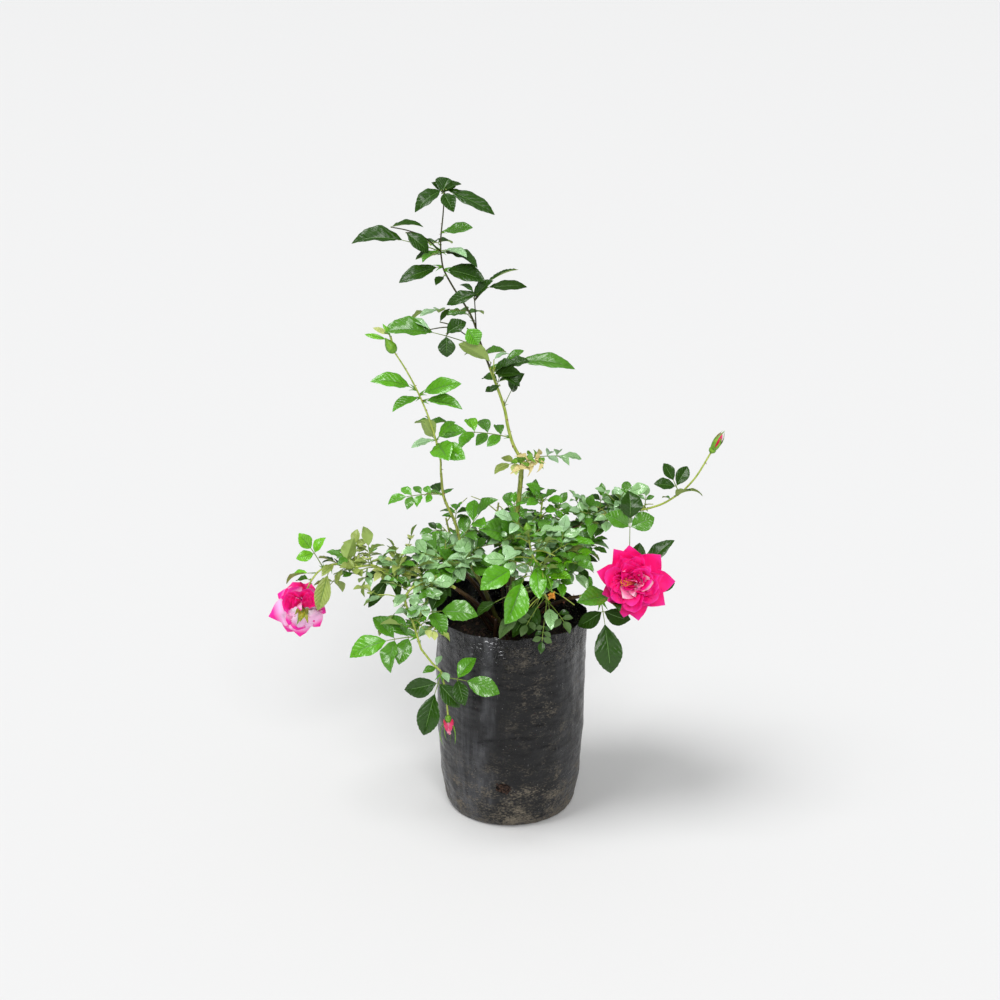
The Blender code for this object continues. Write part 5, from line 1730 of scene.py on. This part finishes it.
@dataclass
class CaneLimb:
    """A cane: its bark with nodes, streaks and prickles."""

    name: str
    cane: Cane
    growth: Growth
    forms: dict[str, Form]
    palette: Palette
    node_spacing: float = 27

    def build(self) -> bpy.types.Object:
        """Models the cane.

        Returns:
            The cane's mesh.
        """
        heap = Heap(self.forms)
        path = self.growth.fine[self.name]
        length = length_of(path)

        def swell(share: float) -> float:
            """Nodes that thicken the cane every few centimetres."""
            place = (share * length / self.node_spacing) % 1
            return 0.16 * math.exp(-((place - 0.5) / 0.07) ** 2)

        radii = (self.cane.foot, self.cane.tip)
        heap.tube("stem", path, radii, 0, swell)
        add_prickles(heap, self.name, path, radii, 1)
        materials = [self.palette.bark(self.name)] + self.palette.some("rose_prickle")
        piece = heap.build(self.name + "_bark", materials)
        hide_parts(self.name)
        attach(piece, "root")
        return piece


@dataclass
class Bloom:
    """An open flower: rings of petals round a heart, with stamens and a calyx."""

    name: str
    heart: Vector
    outer: list
    inner: list
    growth: Growth
    forms: dict[str, Form]
    palette: Palette
    backwards: bool = False
    pointed: float = 0.3
    stamen_count: int = 20
    back_petals: int = 11
    draw: random.Random = field(default_factory=lambda: random.Random(11))

    HOT, REVERSE, PALE, STEM, SEPAL, ANTHER_SLOT, FILAMENT_SLOT = range(7)
    # count, radius, height and width of each ring of the middle
    MIDDLE = ((10, 31, 9, 0.75), (9, 26, 15, 0.8), (9, 21, 20, 0.85), (8, 15, 22, 0.8), (7, 9, 21, 0.7))
    # the mean length of the outer petals that the rings are measured for
    USUAL_SIZE = 44

    def build(self) -> list[bpy.types.Object]:
        """Models the flower.

        Returns:
            Its petals and its green parts with the stamens.
        """
        petals = Heap(self.forms)
        green = Heap(self.forms)
        middle = sum((Vector(tip) for tip in self.inner), Vector()) / len(self.inner)
        face = (middle - self.heart).normalized()
        self.rings(petals, face)
        self.stamens(green, face)
        self.calyx(green, face)
        materials = self.palette.some("hot_pink_petal", "petal_reverse", "pale_petaloid", "green_leaf_stalk",
                                      "young_calyx", "anther", "filament")
        petal_piece = petals.build(self.name + "_petals", materials[:3])
        green_piece = green.build(self.name + "_calyx_and_stamens", materials)
        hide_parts(self.name)
        for piece in (petal_piece, green_piece):
            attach(piece, "root")
        return [petal_piece, green_piece]

    def rings(self, petals: Heap, face: Vector) -> None:
        """Adds the outer and the inner rings, then the crumpled petals of the middle.

        Args:
            petals: The heap to add to.
            face: The way the flower faces.
        """
        draw = self.draw
        for index, tip in enumerate(self.outer):
            end = Vector(tip)
            out = (end - self.heart).normalized()
            shown = self.backwards and end.z > self.heart.z + 12
            up = (face if not shown else -face) + out * draw.uniform(-0.1, 0.25)
            root = self.heart + out * 3 - face * (index % 3)
            self.petal(petals, root, end, up, draw.uniform(0.64, 0.8) + 0.22 * self.backwards,
                       draw.uniform(-0.16, 0.25), draw.uniform(0.05, 0.45), shown,
                       twist=draw.uniform(-0.35, 0.35) * (not self.backwards), sharp=True)
        for tip in self.inner:
            end = Vector(tip)
            out = (end - self.heart).normalized()
            self.petal(petals, self.heart + out * 3 + face * 3, end, face + out * 0.2, 0.84,
                       draw.uniform(0.15, 0.4), 0.2, twist=draw.uniform(-0.5, 0.5))
        for index in range(self.back_petals * self.backwards):
            out = Vector((draw.uniform(-0.7, 0.75), 0, 1)).normalized()
            root = self.heart + out * draw.uniform(4, 9) - face * 1.5
            end = root + out * draw.uniform(13, 22) - face * draw.uniform(4, 15)
            self.petal(petals, root, end, -face + out * draw.uniform(-0.7, 0.2), draw.uniform(0.8, 1.1),
                       draw.uniform(0.1, 0.5), 0.3, True, index % 4 == 0, draw.uniform(-0.9, 0.9))
        side = face.orthogonal().normalized()
        size = sum((Vector(tip) - self.heart).length for tip in self.outer) / len(self.outer)
        for ring, (count, radius, forward, wide) in enumerate(self.MIDDLE):
            for index in range(count):
                angle = math.tau * (index + 0.4 * ring + draw.uniform(-0.3, 0.3)) / count
                out = turned(side, angle, face)
                scale = draw.uniform(0.75, 1.12) * (size / self.USUAL_SIZE)
                pale = ring > 2 and out.x - out.z > -0.2 and draw.random() < 0.7
                end = self.heart + (out * radius * (1.25 if pale else 1) + face * forward) * scale
                self.petal(petals, self.heart + out * 2 + face * (2 + ring), end,
                           face + out * draw.uniform(-0.5, 0.6), wide * draw.uniform(0.7, 1.15),
                           draw.uniform(0.0, 0.45), draw.uniform(0.1, 0.5), False, pale,
                           draw.uniform(-0.8, 0.8))

    def petal(self, petals: Heap, root: Vector, tip: Vector, up: Vector, wide: float, cup: float,
              recurve: float, bared: bool = False, pale: bool = False, twist: float = 0.0,
              sharp: bool = False) -> None:
        """Adds one petal.

        Args:
            petals: The heap to add to.
            root: Its foot.
            tip: Its point.
            up: The way it opens.
            wide: Its width as a share of its length.
            cup: How much its sides rise.
            recurve: How much its end rolls back.
            bared: Whether its hot side shows behind.
            pale: Whether it is one of the pale small ones.
            twist: How much it turns along its length.
            sharp: Whether it surely ends in a point.
        """
        draw = self.draw
        sides = (self.PALE, self.PALE) if pale and not bared else (self.HOT, self.REVERSE)
        blade = Blade(root, tip, up, wide * (tip - root).length * draw.uniform(0.94, 1.08),
                      fold=draw.uniform(-0.12, 0.3), curl=-0.12, twist=twist + draw.uniform(-0.25, 0.25),
                      ripple=draw.uniform(0.05, 0.18), phase=draw.uniform(0, 6), cup=cup,
                      recurve=recurve * draw.uniform(0.7, 1.4))
        petals.lay("petal" if sharp or draw.random() < self.pointed else "blunt_petal", blade, *sides)

    def stamens(self, green: Heap, face: Vector) -> None:
        """Adds the filaments and anthers in the middle."""
        draw = self.draw
        side = face.orthogonal().normalized()
        middle = self.heart + Vector((-12, 0, 3)) * (not self.backwards)
        for index in range(self.stamen_count):
            out = turned(side, index * 2.4, face)
            foot = self.heart + face * 6 + out * 1.5
            end = middle + face * draw.uniform(20, 25) + out * draw.uniform(1, 5)
            green.tube("stalk", [foot, foot.lerp(end, 0.5) + face, end], (0.3, 0.2), self.FILAMENT_SLOT)
            green.stand("lump", end, face, out, (1.4, 1.8, 1.2), self.ANTHER_SLOT)

    def calyx(self, green: Heap, face: Vector) -> None:
        """Adds the stalk, the swollen hip and five sepals behind the petals.

        Args:
            green: The heap to add to.
            face: The way the flower faces.
        """
        path = self.growth.fine[self.name]
        hip = self.heart - face * 9
        stalk = smooth_path([path[0], path[-1], path[-1].lerp(hip, 0.6), hip], 4)
        green.tube("rachis", stalk, (1.0, 1.2), self.STEM)
        lean = (-face + Vector((-0.2, 0, -0.9))).normalized()
        green.stand("bud", self.heart + face * 2, lean, Vector((1, 0, 0)), (9, 9, 17), self.SEPAL)
        side = face.orthogonal().normalized()
        for index in range(5):
            out = turned(side, math.tau * index / 5 + 0.4, face)
            tip = self.heart - face * 8 + out * self.draw.uniform(6, 12) - Vector((0, 0, 7))
            sepal = Blade(self.heart - face * 2 + out * 4, tip, -face + out * 0.5, 5.5, fold=0.3, curl=-0.3,
                          twist=self.draw.uniform(-0.5, 0.5))
            green.lay("sepal", sepal, *(self.SEPAL if index % 2 else self.STEM,) * 2)


@dataclass
class FlowerBud:
    """A flower bud on its stalk: wrapped petals, hip and sepals."""

    name: str
    length: float
    radius: float
    growth: Growth
    forms: dict[str, Form]
    palette: Palette
    petals: int = 2
    spread: float = 0.03
    apart: float = 5.2
    core: float = 0.6
    hip: float = 1.05
    sepal_width: float = 1.8
    sepal_reach: tuple = (0.9, 1.6)
    sepal_flare: tuple = (1.2, 2.2)
    sepal_turn: tuple = (75, 350)

    PETAL, EDGE, STEM, GREEN = range(4)

    def build(self) -> bpy.types.Object:
        """Models the bud.

        Returns:
            The bud's mesh.
        """
        heap = Heap(self.forms)
        draw = random.Random(self.name)
        path = self.growth.fine[self.name]
        along = (path[-1] - path[-2]).normalized()
        end = path[-1]
        side = square_to(Vector((1, 0, 0)), along)
        front = square_to(Vector((0, -1, 0)), along)
        core = self.radius * self.core
        hip = self.radius * self.hip
        heap.tube("stalk", path, (1.2, 1.1), self.STEM)
        heap.stand("bud", end + along * 1.5, along, side, (core, core, self.length * 0.88), self.PETAL)
        heap.stand("bud", end - along * 3.5, along, side, (hip, hip, 11), self.GREEN)
        for index in range(self.petals):
            hand = 2 * index / max(1, self.petals - 1) - 1
            root = end + along * 0.5 + side * hand * self.apart + front * 2
            tip = end + along * self.length * (0.95 - 0.05 * index) + side * hand * self.length * self.spread
            wrap = Blade(root, tip, front + side * hand * 0.9, self.radius * 1.3, fold=-0.5,
                         bulge=self.radius * 0.25, twist=0.3 * hand)
            heap.lay("blunt_petal", wrap, self.PETAL, self.EDGE)
        low, high = self.sepal_turn
        for index in range(5):
            out = turned(front, math.radians(low + (high - low) * index / 5), along)
            root = end + out * core * 0.34
            tip = end + along * self.length * draw.uniform(*self.sepal_reach) \
                + out * self.radius * draw.uniform(*self.sepal_flare)
            sepal = Blade(root, tip, out, self.sepal_width, fold=-0.5, curl=draw.uniform(-0.3, 0.5),
                          twist=draw.uniform(-0.4, 0.4), bulge=core * 0.3)
            heap.lay("sepal", sepal, self.GREEN, self.GREEN)
        piece = heap.build(self.name + "_petals_and_sepals", self.palette.some(
            "bud_petal", "bud_petal", "green_leaf_stalk", "green_bud"))
        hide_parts(self.name)
        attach(piece, "root")
        return piece


@dataclass
class DryBits:
    """Withered scales where a cane was cut, and dead stubs inside the bag's mouth."""

    forms: dict[str, Form]
    palette: Palette
    centre: Vector = field(default_factory=lambda: Vector((20, -6, 431)))
    scales: int = 26
    hanging: tuple = (46, -86, 297)
    hanging_scales: int = 9
    # foot, tip and radius of each dead stub
    stubs: tuple = (((-21, -52, 212), (-17, -60, 258), 2.4), ((-6, -58, 212), (-4, -62, 240), 2.0),
                    ((22, -50, 212), (30, -58, 236), 1.6))

    def build(self) -> list[bpy.types.Object]:
        """Models the scales and the stubs.

        Returns:
            Both pieces.
        """
        draw = random.Random(21)
        scales = Heap(self.forms)
        for index in range(self.scales):
            root = self.centre + drawn(draw, (-14, 16), (-6, 6), (-8, 8))
            way = drawn(draw, (-1, 1), (-0.6, 0.3), (-1, 0.8)).normalized()
            scale = Blade(root, root + way * draw.uniform(8, 15), Vector((0, -1, 0.4)),
                          draw.uniform(4.5, 8), fold=draw.uniform(-0.4, 0.5),
                          curl=draw.uniform(-0.5, 0.5), twist=draw.uniform(-1, 1), ripple=0.1)
            scales.lay("sepal", scale, *(index % 3 // 2,) * 2)
        for index in range(self.hanging_scales):
            way = drawn(draw, (-1, 1), (-0.8, 0.2), (-0.9, 0.9)).normalized()
            root = Vector(self.hanging) - way * 2
            scale = Blade(root, root + way * draw.uniform(6, 11), Vector((0, -1, 0.5)), draw.uniform(5, 8),
                          fold=0.4, curl=0.5, twist=draw.uniform(-1, 1), ripple=0.1)
            scales.lay("sepal", scale, 2, 2)
        hang = smooth_path([(40, -70, 316), (44, -80, 308), (46, -86, 298)], 4)
        scales.tube("rachis", hang, (0.8, 0.7), 1)
        dry = scales.build("withered_scales", self.palette.some("dry_bract", "green_bud", "withered_bud"))
        stubs = Heap(self.forms)
        for foot, tip, radius in self.stubs:
            middle = Vector(foot).lerp(Vector(tip), 0.5) + Vector((1, 0, 0))
            stubs.tube("stem", smooth_path([foot, middle, tip], 4), (radius, radius * 0.8), 0)
        wood = stubs.build("dead_cane_stubs", self.palette.some("brown_cane_bark"))
        for piece, slot in ((dry, "leaf"), (wood, "bark")):
            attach(piece, "root")
        return [dry, wood]


@dataclass
class RootCrown:
    """The knobbly foot that the canes spring from."""

    palette: Palette
    centre: Vector = field(default_factory=lambda: CROWN_CENTRE.copy())
    radius: float = CROWN_RADIUS
    foot_radius: float = 19
    foot: float = 210.5

    def build(self) -> bpy.types.Object:
        """Models the crown from a ball pulled out to a flared foot.

        Returns:
            The crown's mesh.
        """
        clear_selection()
        bpy.ops.mesh.primitive_uv_sphere_add(segments=36, ring_count=24, radius=self.radius * MM,
                                             location=self.centre * MM)
        thing = bpy.context.object
        thing.name = "root_crown_wood"
        bpy.ops.object.transform_apply(location=True)
        low = self.foot * MM
        for vert in thing.data.vertices:
            rise = (vert.co.z - low) / (self.radius * MM)
            if vert.co.z < low:
                vert.co.z = low
            flare = max(0.0, 1 - max(rise, 0) * 1.6) ** 2
            away = Vector((vert.co.x - self.centre.x * MM, vert.co.y - self.centre.y * MM, 0))
            if away.length > 1e-6:
                vert.co += away.normalized() * flare * (self.foot_radius - self.radius) * MM
            vert.co += away * 0.35 * noise.noise(vert.co * 130) + away * 0.12 * noise.noise(vert.co * 420)
        thing.data.materials.append(self.palette.made["old_rose_wood"])
        bpy.ops.object.shade_smooth()
        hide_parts("root_crown")
        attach(thing, "root")
        return thing


@dataclass
class NurseryBag:
    """The film bag: a thin creased wall, an uneven mouth and a drainage hole.

    Its folds and the waves of its mouth are rows of angle, depth or height and half width.
    """

    palette: Palette
    mouth: float = 246
    widest: float = 90
    # the crumpled film never stands out further than this
    limit: float = 91.5
    wall: float = 0.6
    segments: int = 220
    cuts: int = 90
    profile: tuple = ((0, 70), (2.5, 74.5), (10, 78), (40, 84), (100, 88), (180, 89.5), (246, 90))
    folds: tuple = ((-98, 2.6, 7), (-62, 1.4, 8), (-28, 2.0, 9), (22, 2.4, 10), (70, 1.8, 9), (118, 2.6, 10),
                    (160, 2.2, 9), (186, 4.5, 9), (-140, 1.8, 9))
    waves: tuple = ((124, 15, 26), (150, 5, 12), (20, -4, 20), (-40, -3, 16), (-92, -2, 10), (62, 4, 16),
                    (190, -5, 12))
    base_insets: tuple = (6, 18, 22)
    hole_radius: float = 8
    hole_height: float = 56
    hole_angle: float = -95

    @staticmethod
    def bump(angle: float, middle: float, half_width: float) -> float:
        """A smooth rise round an angle, one at its middle."""
        away = (angle - middle + 180) % 360 - 180
        return math.exp(-(away / half_width) ** 2)

    def radius(self, angle: float, height: float) -> float:
        """Outside radius with the folds, as in the solid.

        Args:
            angle: Degrees round the bag.
            height: Millimetres up the bag.

        Returns:
            The radius, mm.
        """
        rise = min(1, max(0, height - 8) / self.mouth)
        return along_table(self.profile)(height) \
            - rise * sum(depth * self.bump(angle, at, wide) for at, depth, wide in self.folds)

    def rim(self, angle: float) -> float:
        """Height of the mouth at an angle, mm."""
        return self.mouth + sum(rise * self.bump(angle, at, wide) for at, rise, wide in self.waves)

    def creases(self, angle: float, height: float) -> float:
        """Finer relief of the film: ripples across the front, puckers under the rim and soft dents.

        Args:
            angle: Degrees round the bag.
            height: Millimetres up the bag.

        Returns:
            How far the film stands out, mm.
        """
        cosine, sine = math.cos(math.radians(angle)), math.sin(math.radians(angle))

        def rough(around: float, tall: float, finer: float = 1.0) -> float:
            """Noise over the film: around says how many lumps go round it, tall how high they are, mm."""
            return noise.noise(Vector((cosine * around, sine * around, height / tall)) * finer)

        dents = 1.1 * rough(2.2, 40) + 0.55 * rough(2.2, 40, 2.7)
        ripple = 0.8 * (0.6 - 2 * abs(rough(4, 13)))
        across = ripple * self.bump(angle, -62, 38) * math.exp(-((height - 140) / 80) ** 2)
        pucker = (1.4 + 4.5 * self.bump(angle, -97, 18)) * rough(16, 22) \
            * max(0, (height - 190) / 56) ** 1.5
        base_fold = 0.9 * rough(9, 12) * math.exp(-(height / 32) ** 2)
        notch = -3.0 * self.bump(angle, 184, 13) * math.exp(-((height - 212) / 16) ** 2)
        return dents * min(1, height / 30) + across + pucker + base_fold + notch

    def build(self) -> bpy.types.Object:
        """Models the bag from a cylinder, then gives it its wall and hole.

        Returns:
            The bag's mesh.
        """
        clear_selection()
        thing = add_drum("creased_film_bag", self.segments, self.widest, 0, self.mouth)
        bpy.ops.mesh.subdivide(number_cuts=self.cuts)
        bpy.ops.mesh.select_all(action="DESELECT")
        pick_parts("faces", lambda face: face.normal.z > 0.9)
        bpy.ops.mesh.delete(type="FACE")
        pick_parts("faces", lambda face: face.normal.z < -0.9)
        for thickness in self.base_insets:
            bpy.ops.mesh.inset(thickness=thickness * MM)
        bpy.ops.object.mode_set(mode="OBJECT")
        for vert in thing.data.vertices:
            self.place(vert)
        wall = thing.modifiers.new("wall", "SOLIDIFY")
        wall.thickness = self.wall * MM
        wall.offset = -1
        apply_all(thing)
        self.cut_hole(thing)
        thing.data.materials.append(self.palette.made["black_polythene_film"])
        thing.select_set(True)
        bpy.ops.object.shade_smooth_by_angle(angle=math.radians(60))
        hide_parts("nursery_bag")
        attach(thing, "root")
        return thing

    def place(self, vert: bpy.types.MeshVertex) -> None:
        """Moves one point of the cylinder to the bag's surface.

        Args:
            vert: The point.
        """
        height = vert.co.z / MM
        angle = math.degrees(math.atan2(vert.co.y, vert.co.x))
        if height < 0.01 and math.hypot(vert.co.x, vert.co.y) / MM < self.widest - 1:
            scale = self.radius(angle, 0) / self.widest
            vert.co = Vector((vert.co.x * scale, vert.co.y * scale, 0))
            return
        # rings crowd towards the rounded foot
        height = self.mouth * (height / self.mouth) ** 1.15
        crease = self.creases(angle, height) if height > 1 else 0
        out = min(self.radius(angle, height) + crease, self.limit)
        stretch = 1 + (self.rim(angle) / self.mouth - 1) * max(0, height / self.mouth * 2 - 1)
        vert.co = on_circle(out, angle, height * stretch) * MM

    def cut_hole(self, thing: bpy.types.Object) -> None:
        """Cuts the drainage hole through the wall.

        Args:
            thing: The bag.
        """
        clear_selection()
        bpy.ops.mesh.primitive_cylinder_add(
            vertices=28, radius=self.hole_radius * MM, depth=20 * MM,
            location=on_circle(84, self.hole_angle, self.hole_height) * MM,
            rotation=(0, math.pi / 2, math.radians(self.hole_angle)))
        cutter = bpy.context.object
        bpy.ops.object.transform_apply(location=True, rotation=True)
        for vert in cutter.data.vertices:
            vert.co.x *= 1.12
            vert.co.z = (self.hole_height + (vert.co.z / MM - self.hole_height) * 0.8) * MM \
                + 0.9 * MM * noise.noise(vert.co * 300)
        cut = thing.modifiers.new("drain hole", "BOOLEAN")
        cut.object = cutter
        cut.solver = "EXACT"
        clear_selection()
        apply_all(thing)
        bpy.data.objects.remove(cutter, do_unlink=True)


@dataclass
class Compost:
    """Dark compost, partly its own colour and partly painted shade inside the bag: a rough mound with crumbs
    and bark bits on it.
    """

    bag: NurseryBag
    palette: Palette
    forms: dict[str, Form]
    low: float = 4
    height: float = 208
    radius: float = 86
    mound: float = 4
    # how far from the middle the crumbs lie on top and behind the hole
    reach: float = 84
    behind_hole: float = 83.4
    gap: float = 1.9
    segments: int = 120
    rings: int = 26
    crumbs: int = 420
    hole_crumbs: int = 60

    def top(self, x: float, y: float) -> float:
        """Height of the compost at a place, mm."""
        away = math.hypot(x, y) / 88
        rough = 2.2 * noise.noise(Vector((x / 18, y / 18, 0))) + noise.noise(Vector((x / 5, y / 5, 3)))
        return self.height + self.mound * (1 - away) + rough

    def body(self) -> bpy.types.Object:
        """Models the compost itself, up against the film.

        Returns:
            The compost's mesh.
        """
        clear_selection()
        body = add_drum("compost_body", self.segments, self.radius, self.low, self.height)
        bpy.ops.mesh.subdivide(number_cuts=24)
        pick_parts("faces", lambda face: face.normal.z > 0.9)
        for _ in range(self.rings):
            bpy.ops.mesh.inset(thickness=3.2 * MM)
        bpy.ops.object.mode_set(mode="OBJECT")
        for vert in body.data.vertices:
            x, y, z = vert.co / MM
            if math.hypot(x, y) > self.radius - 0.5:
                angle = math.degrees(math.atan2(y, x))
                inside = self.bag.radius(angle, z) + self.bag.creases(angle, z) - self.gap
                x, y, _ = on_circle(inside, angle, z)
            if z > self.height - 0.5:
                z = self.top(x, y)
            vert.co = Vector((x, y, z)) * MM
        body.data.materials.append(self.palette.made["moist_compost"])
        bpy.ops.object.shade_smooth_by_angle(angle=math.radians(50))
        return body

    def build(self) -> list[bpy.types.Object]:
        """Models the compost and its crumbs.

        Returns:
            The body and the crumbs.
        """
        body = self.body()
        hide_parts("soil")
        heap = Heap(self.forms)
        draw = random.Random(5)
        for _ in range(self.crumbs):
            away = self.reach * math.sqrt(draw.random())
            angle = draw.uniform(0, math.tau)
            x, y = away * math.cos(angle), away * math.sin(angle)
            size = draw.uniform(2, 6.5)
            spin = drawn(draw, (-1, 1), (-1, 1), (-1, 1))
            shape = (size * draw.uniform(0.8, 1.6), size, size * 0.7)
            heap.stand("lump", Vector((x, y, self.top(x, y) + size * 0.1)), spin, Vector((1, 0, 0)), shape,
                       draw.randint(0, 1))
        hole = math.radians(self.bag.hole_angle)
        for _ in range(self.hole_crumbs):
            around = hole + draw.uniform(-0.11, 0.11)
            spot = Vector((self.behind_hole * math.cos(around), self.behind_hole * math.sin(around),
                           self.bag.hole_height + draw.uniform(-7, 7)))
            size = draw.uniform(1.6, 3.4)
            heap.stand("lump", spot, Vector((draw.random(), 0.3, 1)), Vector((0, 1, 0)),
                       (size * 1.4, size, size), 1)
        crumbs = heap.build("compost_crumbs", self.palette.some("moist_compost", "compost_crumb"), 40)
        for piece in (body, crumbs):
            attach(piece, "root")
        return [body, crumbs]


# ---- room ---------------------------------------------------------------------------------------
@dataclass
class Studio:
    """Pale floor, soft light and the camera."""

    camera_x: float = -0.0122
    camera_back: float = 1.70
    camera_height: float = 0.93
    tilt: float = 17.9
    lens: float = 55.98
    sensor: float = 36.0
    sight: float = 1500
    floor_colour: str = "#E8E8E8"
    floor_radius: float = 900.0
    sky_strength: float = 0.38
    # name, power, spread in degrees and where it shines from
    suns: tuple = (("high_window", 1.95, 30.0, (-1.0, -0.45, 2.2)),
                   ("front_window", 1.6, 26.0, (0.15, -1.0, 0.7)))

    def build(self) -> None:
        """Sets up the room."""
        scene = bpy.context.scene
        scene.view_settings.view_transform = "Standard"
        self.floor()
        self.lights()
        data = bpy.data.cameras.new("camera")
        data.lens = self.lens
        data.sensor_width = self.sensor
        data.clip_end = self.sight
        camera = bpy.data.objects.new("camera", data)
        camera.location = (self.camera_x, -self.camera_back, self.camera_height)
        camera.rotation_euler = (math.radians(90 - self.tilt), 0, 0)
        scene.collection.objects.link(camera)
        scene.camera = camera

    def floor(self) -> None:
        """Adds the pale floor."""
        clear_selection()
        bpy.ops.mesh.primitive_circle_add(vertices=96, radius=self.floor_radius, fill_type="NGON",
                                          location=(0, 0, -0.0002))
        floor = bpy.context.object
        floor.name = "pale_floor"
        floor.data.materials.append(Paint("matt_paper", self.floor_colour, 0.9, 1.3).material)

    def lights(self) -> None:
        """Adds a sky that is brighter overhead and two broad soft lights, left above and in front."""
        world = bpy.data.worlds.new("soft_room")
        world.use_nodes = True
        tree = world.node_tree
        view = add_node(tree, "TexCoord").outputs["Generated"]
        height = add_node(tree, "SeparateXYZ", links={0: view}).outputs[2]
        sky = ramp(tree, height, [(0.0, "#8A8A8A"), (0.25, "#9C9C9C"), (0.75, "#F4F6F8"), (1.0, "#FFFFFF")])
        background = tree.nodes["Background"]
        tree.links.new(sky, background.inputs["Color"])
        background.inputs["Strength"].default_value = self.sky_strength
        bpy.context.scene.world = world
        for name, power, spread, place in self.suns:
            data = bpy.data.lights.new(name, "SUN")
            data.angle = math.radians(spread)
            data.energy = power
            lamp = bpy.data.objects.new(name, data)
            lamp.rotation_euler = (-Vector(place)).to_track_quat("-Z", "Y").to_euler()
            bpy.context.scene.collection.objects.link(lamp)


# the heart of each flower and the tips of its outer and inner petals
RIGHT_BLOOM = {
    "heart": Vector((138, -63, 305)),
    "outer": [(132, -62, 348), (115, -64, 344), (96, -66, 318), (103, -64, 289), (128, -66, 262),
              (145, -66, 258), (174, -64, 277), (186, -62, 304), (168, -60, 336)],
    "inner": [(126, -82, 334), (106, -78, 322), (112, -82, 292), (138, -84, 276), (164, -80, 290),
              (165, -78, 318), (150, -84, 328)],
}
LEFT_BLOOM = {
    "heart": Vector((-237, -52, 267)),
    "outer": [(-268, -32, 278), (-251, -28, 291), (-230, -34, 293), (-214, -42, 268), (-219, -44, 243),
              (-243, -42, 230), (-258, -38, 232), (-276, -38, 254)],
    "inner": [(-254, -18, 266), (-238, -16, 284), (-222, -20, 266), (-238, -20, 248)],
}


RIGHT_BUD = {"petals": 3, "spread": 0.05, "apart": 1.0, "core": 1.4, "hip": 1.3, "sepal_width": 6.5,
             "sepal_reach": (0.85, 1.25), "sepal_flare": (0.15, 0.6), "sepal_turn": (30, 390)}


def main() -> None:
    """Builds the rose piece by piece round its solids."""
    logging.basicConfig(level=logging.INFO, format="%(name)s: %(message)s")
    Studio().build()
    palette = Palette.mix()
    forms = model_forms()
    growth = Growth()
    growth.grow()
    bag = NurseryBag(palette)
    pieces = [bag.build()]
    pieces += Compost(bag, palette, forms).build()
    pieces.append(RootCrown(palette).build())
    for name, cane in CANES.items():
        pieces.append(CaneLimb(name, cane, growth, forms, palette).build())
    for name, spray in SPRAYS.items():
        pieces += FoliageMass(name, spray, growth, forms, palette).build()
    shared = {"growth": growth, "forms": forms, "palette": palette}
    pieces += Bloom("right_bloom", **RIGHT_BLOOM, **shared).build()
    pieces += Bloom("left_bloom", **LEFT_BLOOM, **shared, backwards=True).build()
    pieces.append(FlowerBud("low_bud", 22, 7.5, **shared).build())
    pieces.append(FlowerBud("right_bud", 24, 6.8, **shared, **RIGHT_BUD).build())
    pieces += DryBits(forms, palette).build()
    faces = 0
    for piece in pieces:
        piece.data.calc_loop_triangles()
        count = len(piece.data.loop_triangles)
        faces += count
        log.info("%s: %d triangles", piece.name, count)
    log.info("whole plant: %d pieces, %d triangles", len(pieces), faces)


if __name__ == "__main__":
    main()
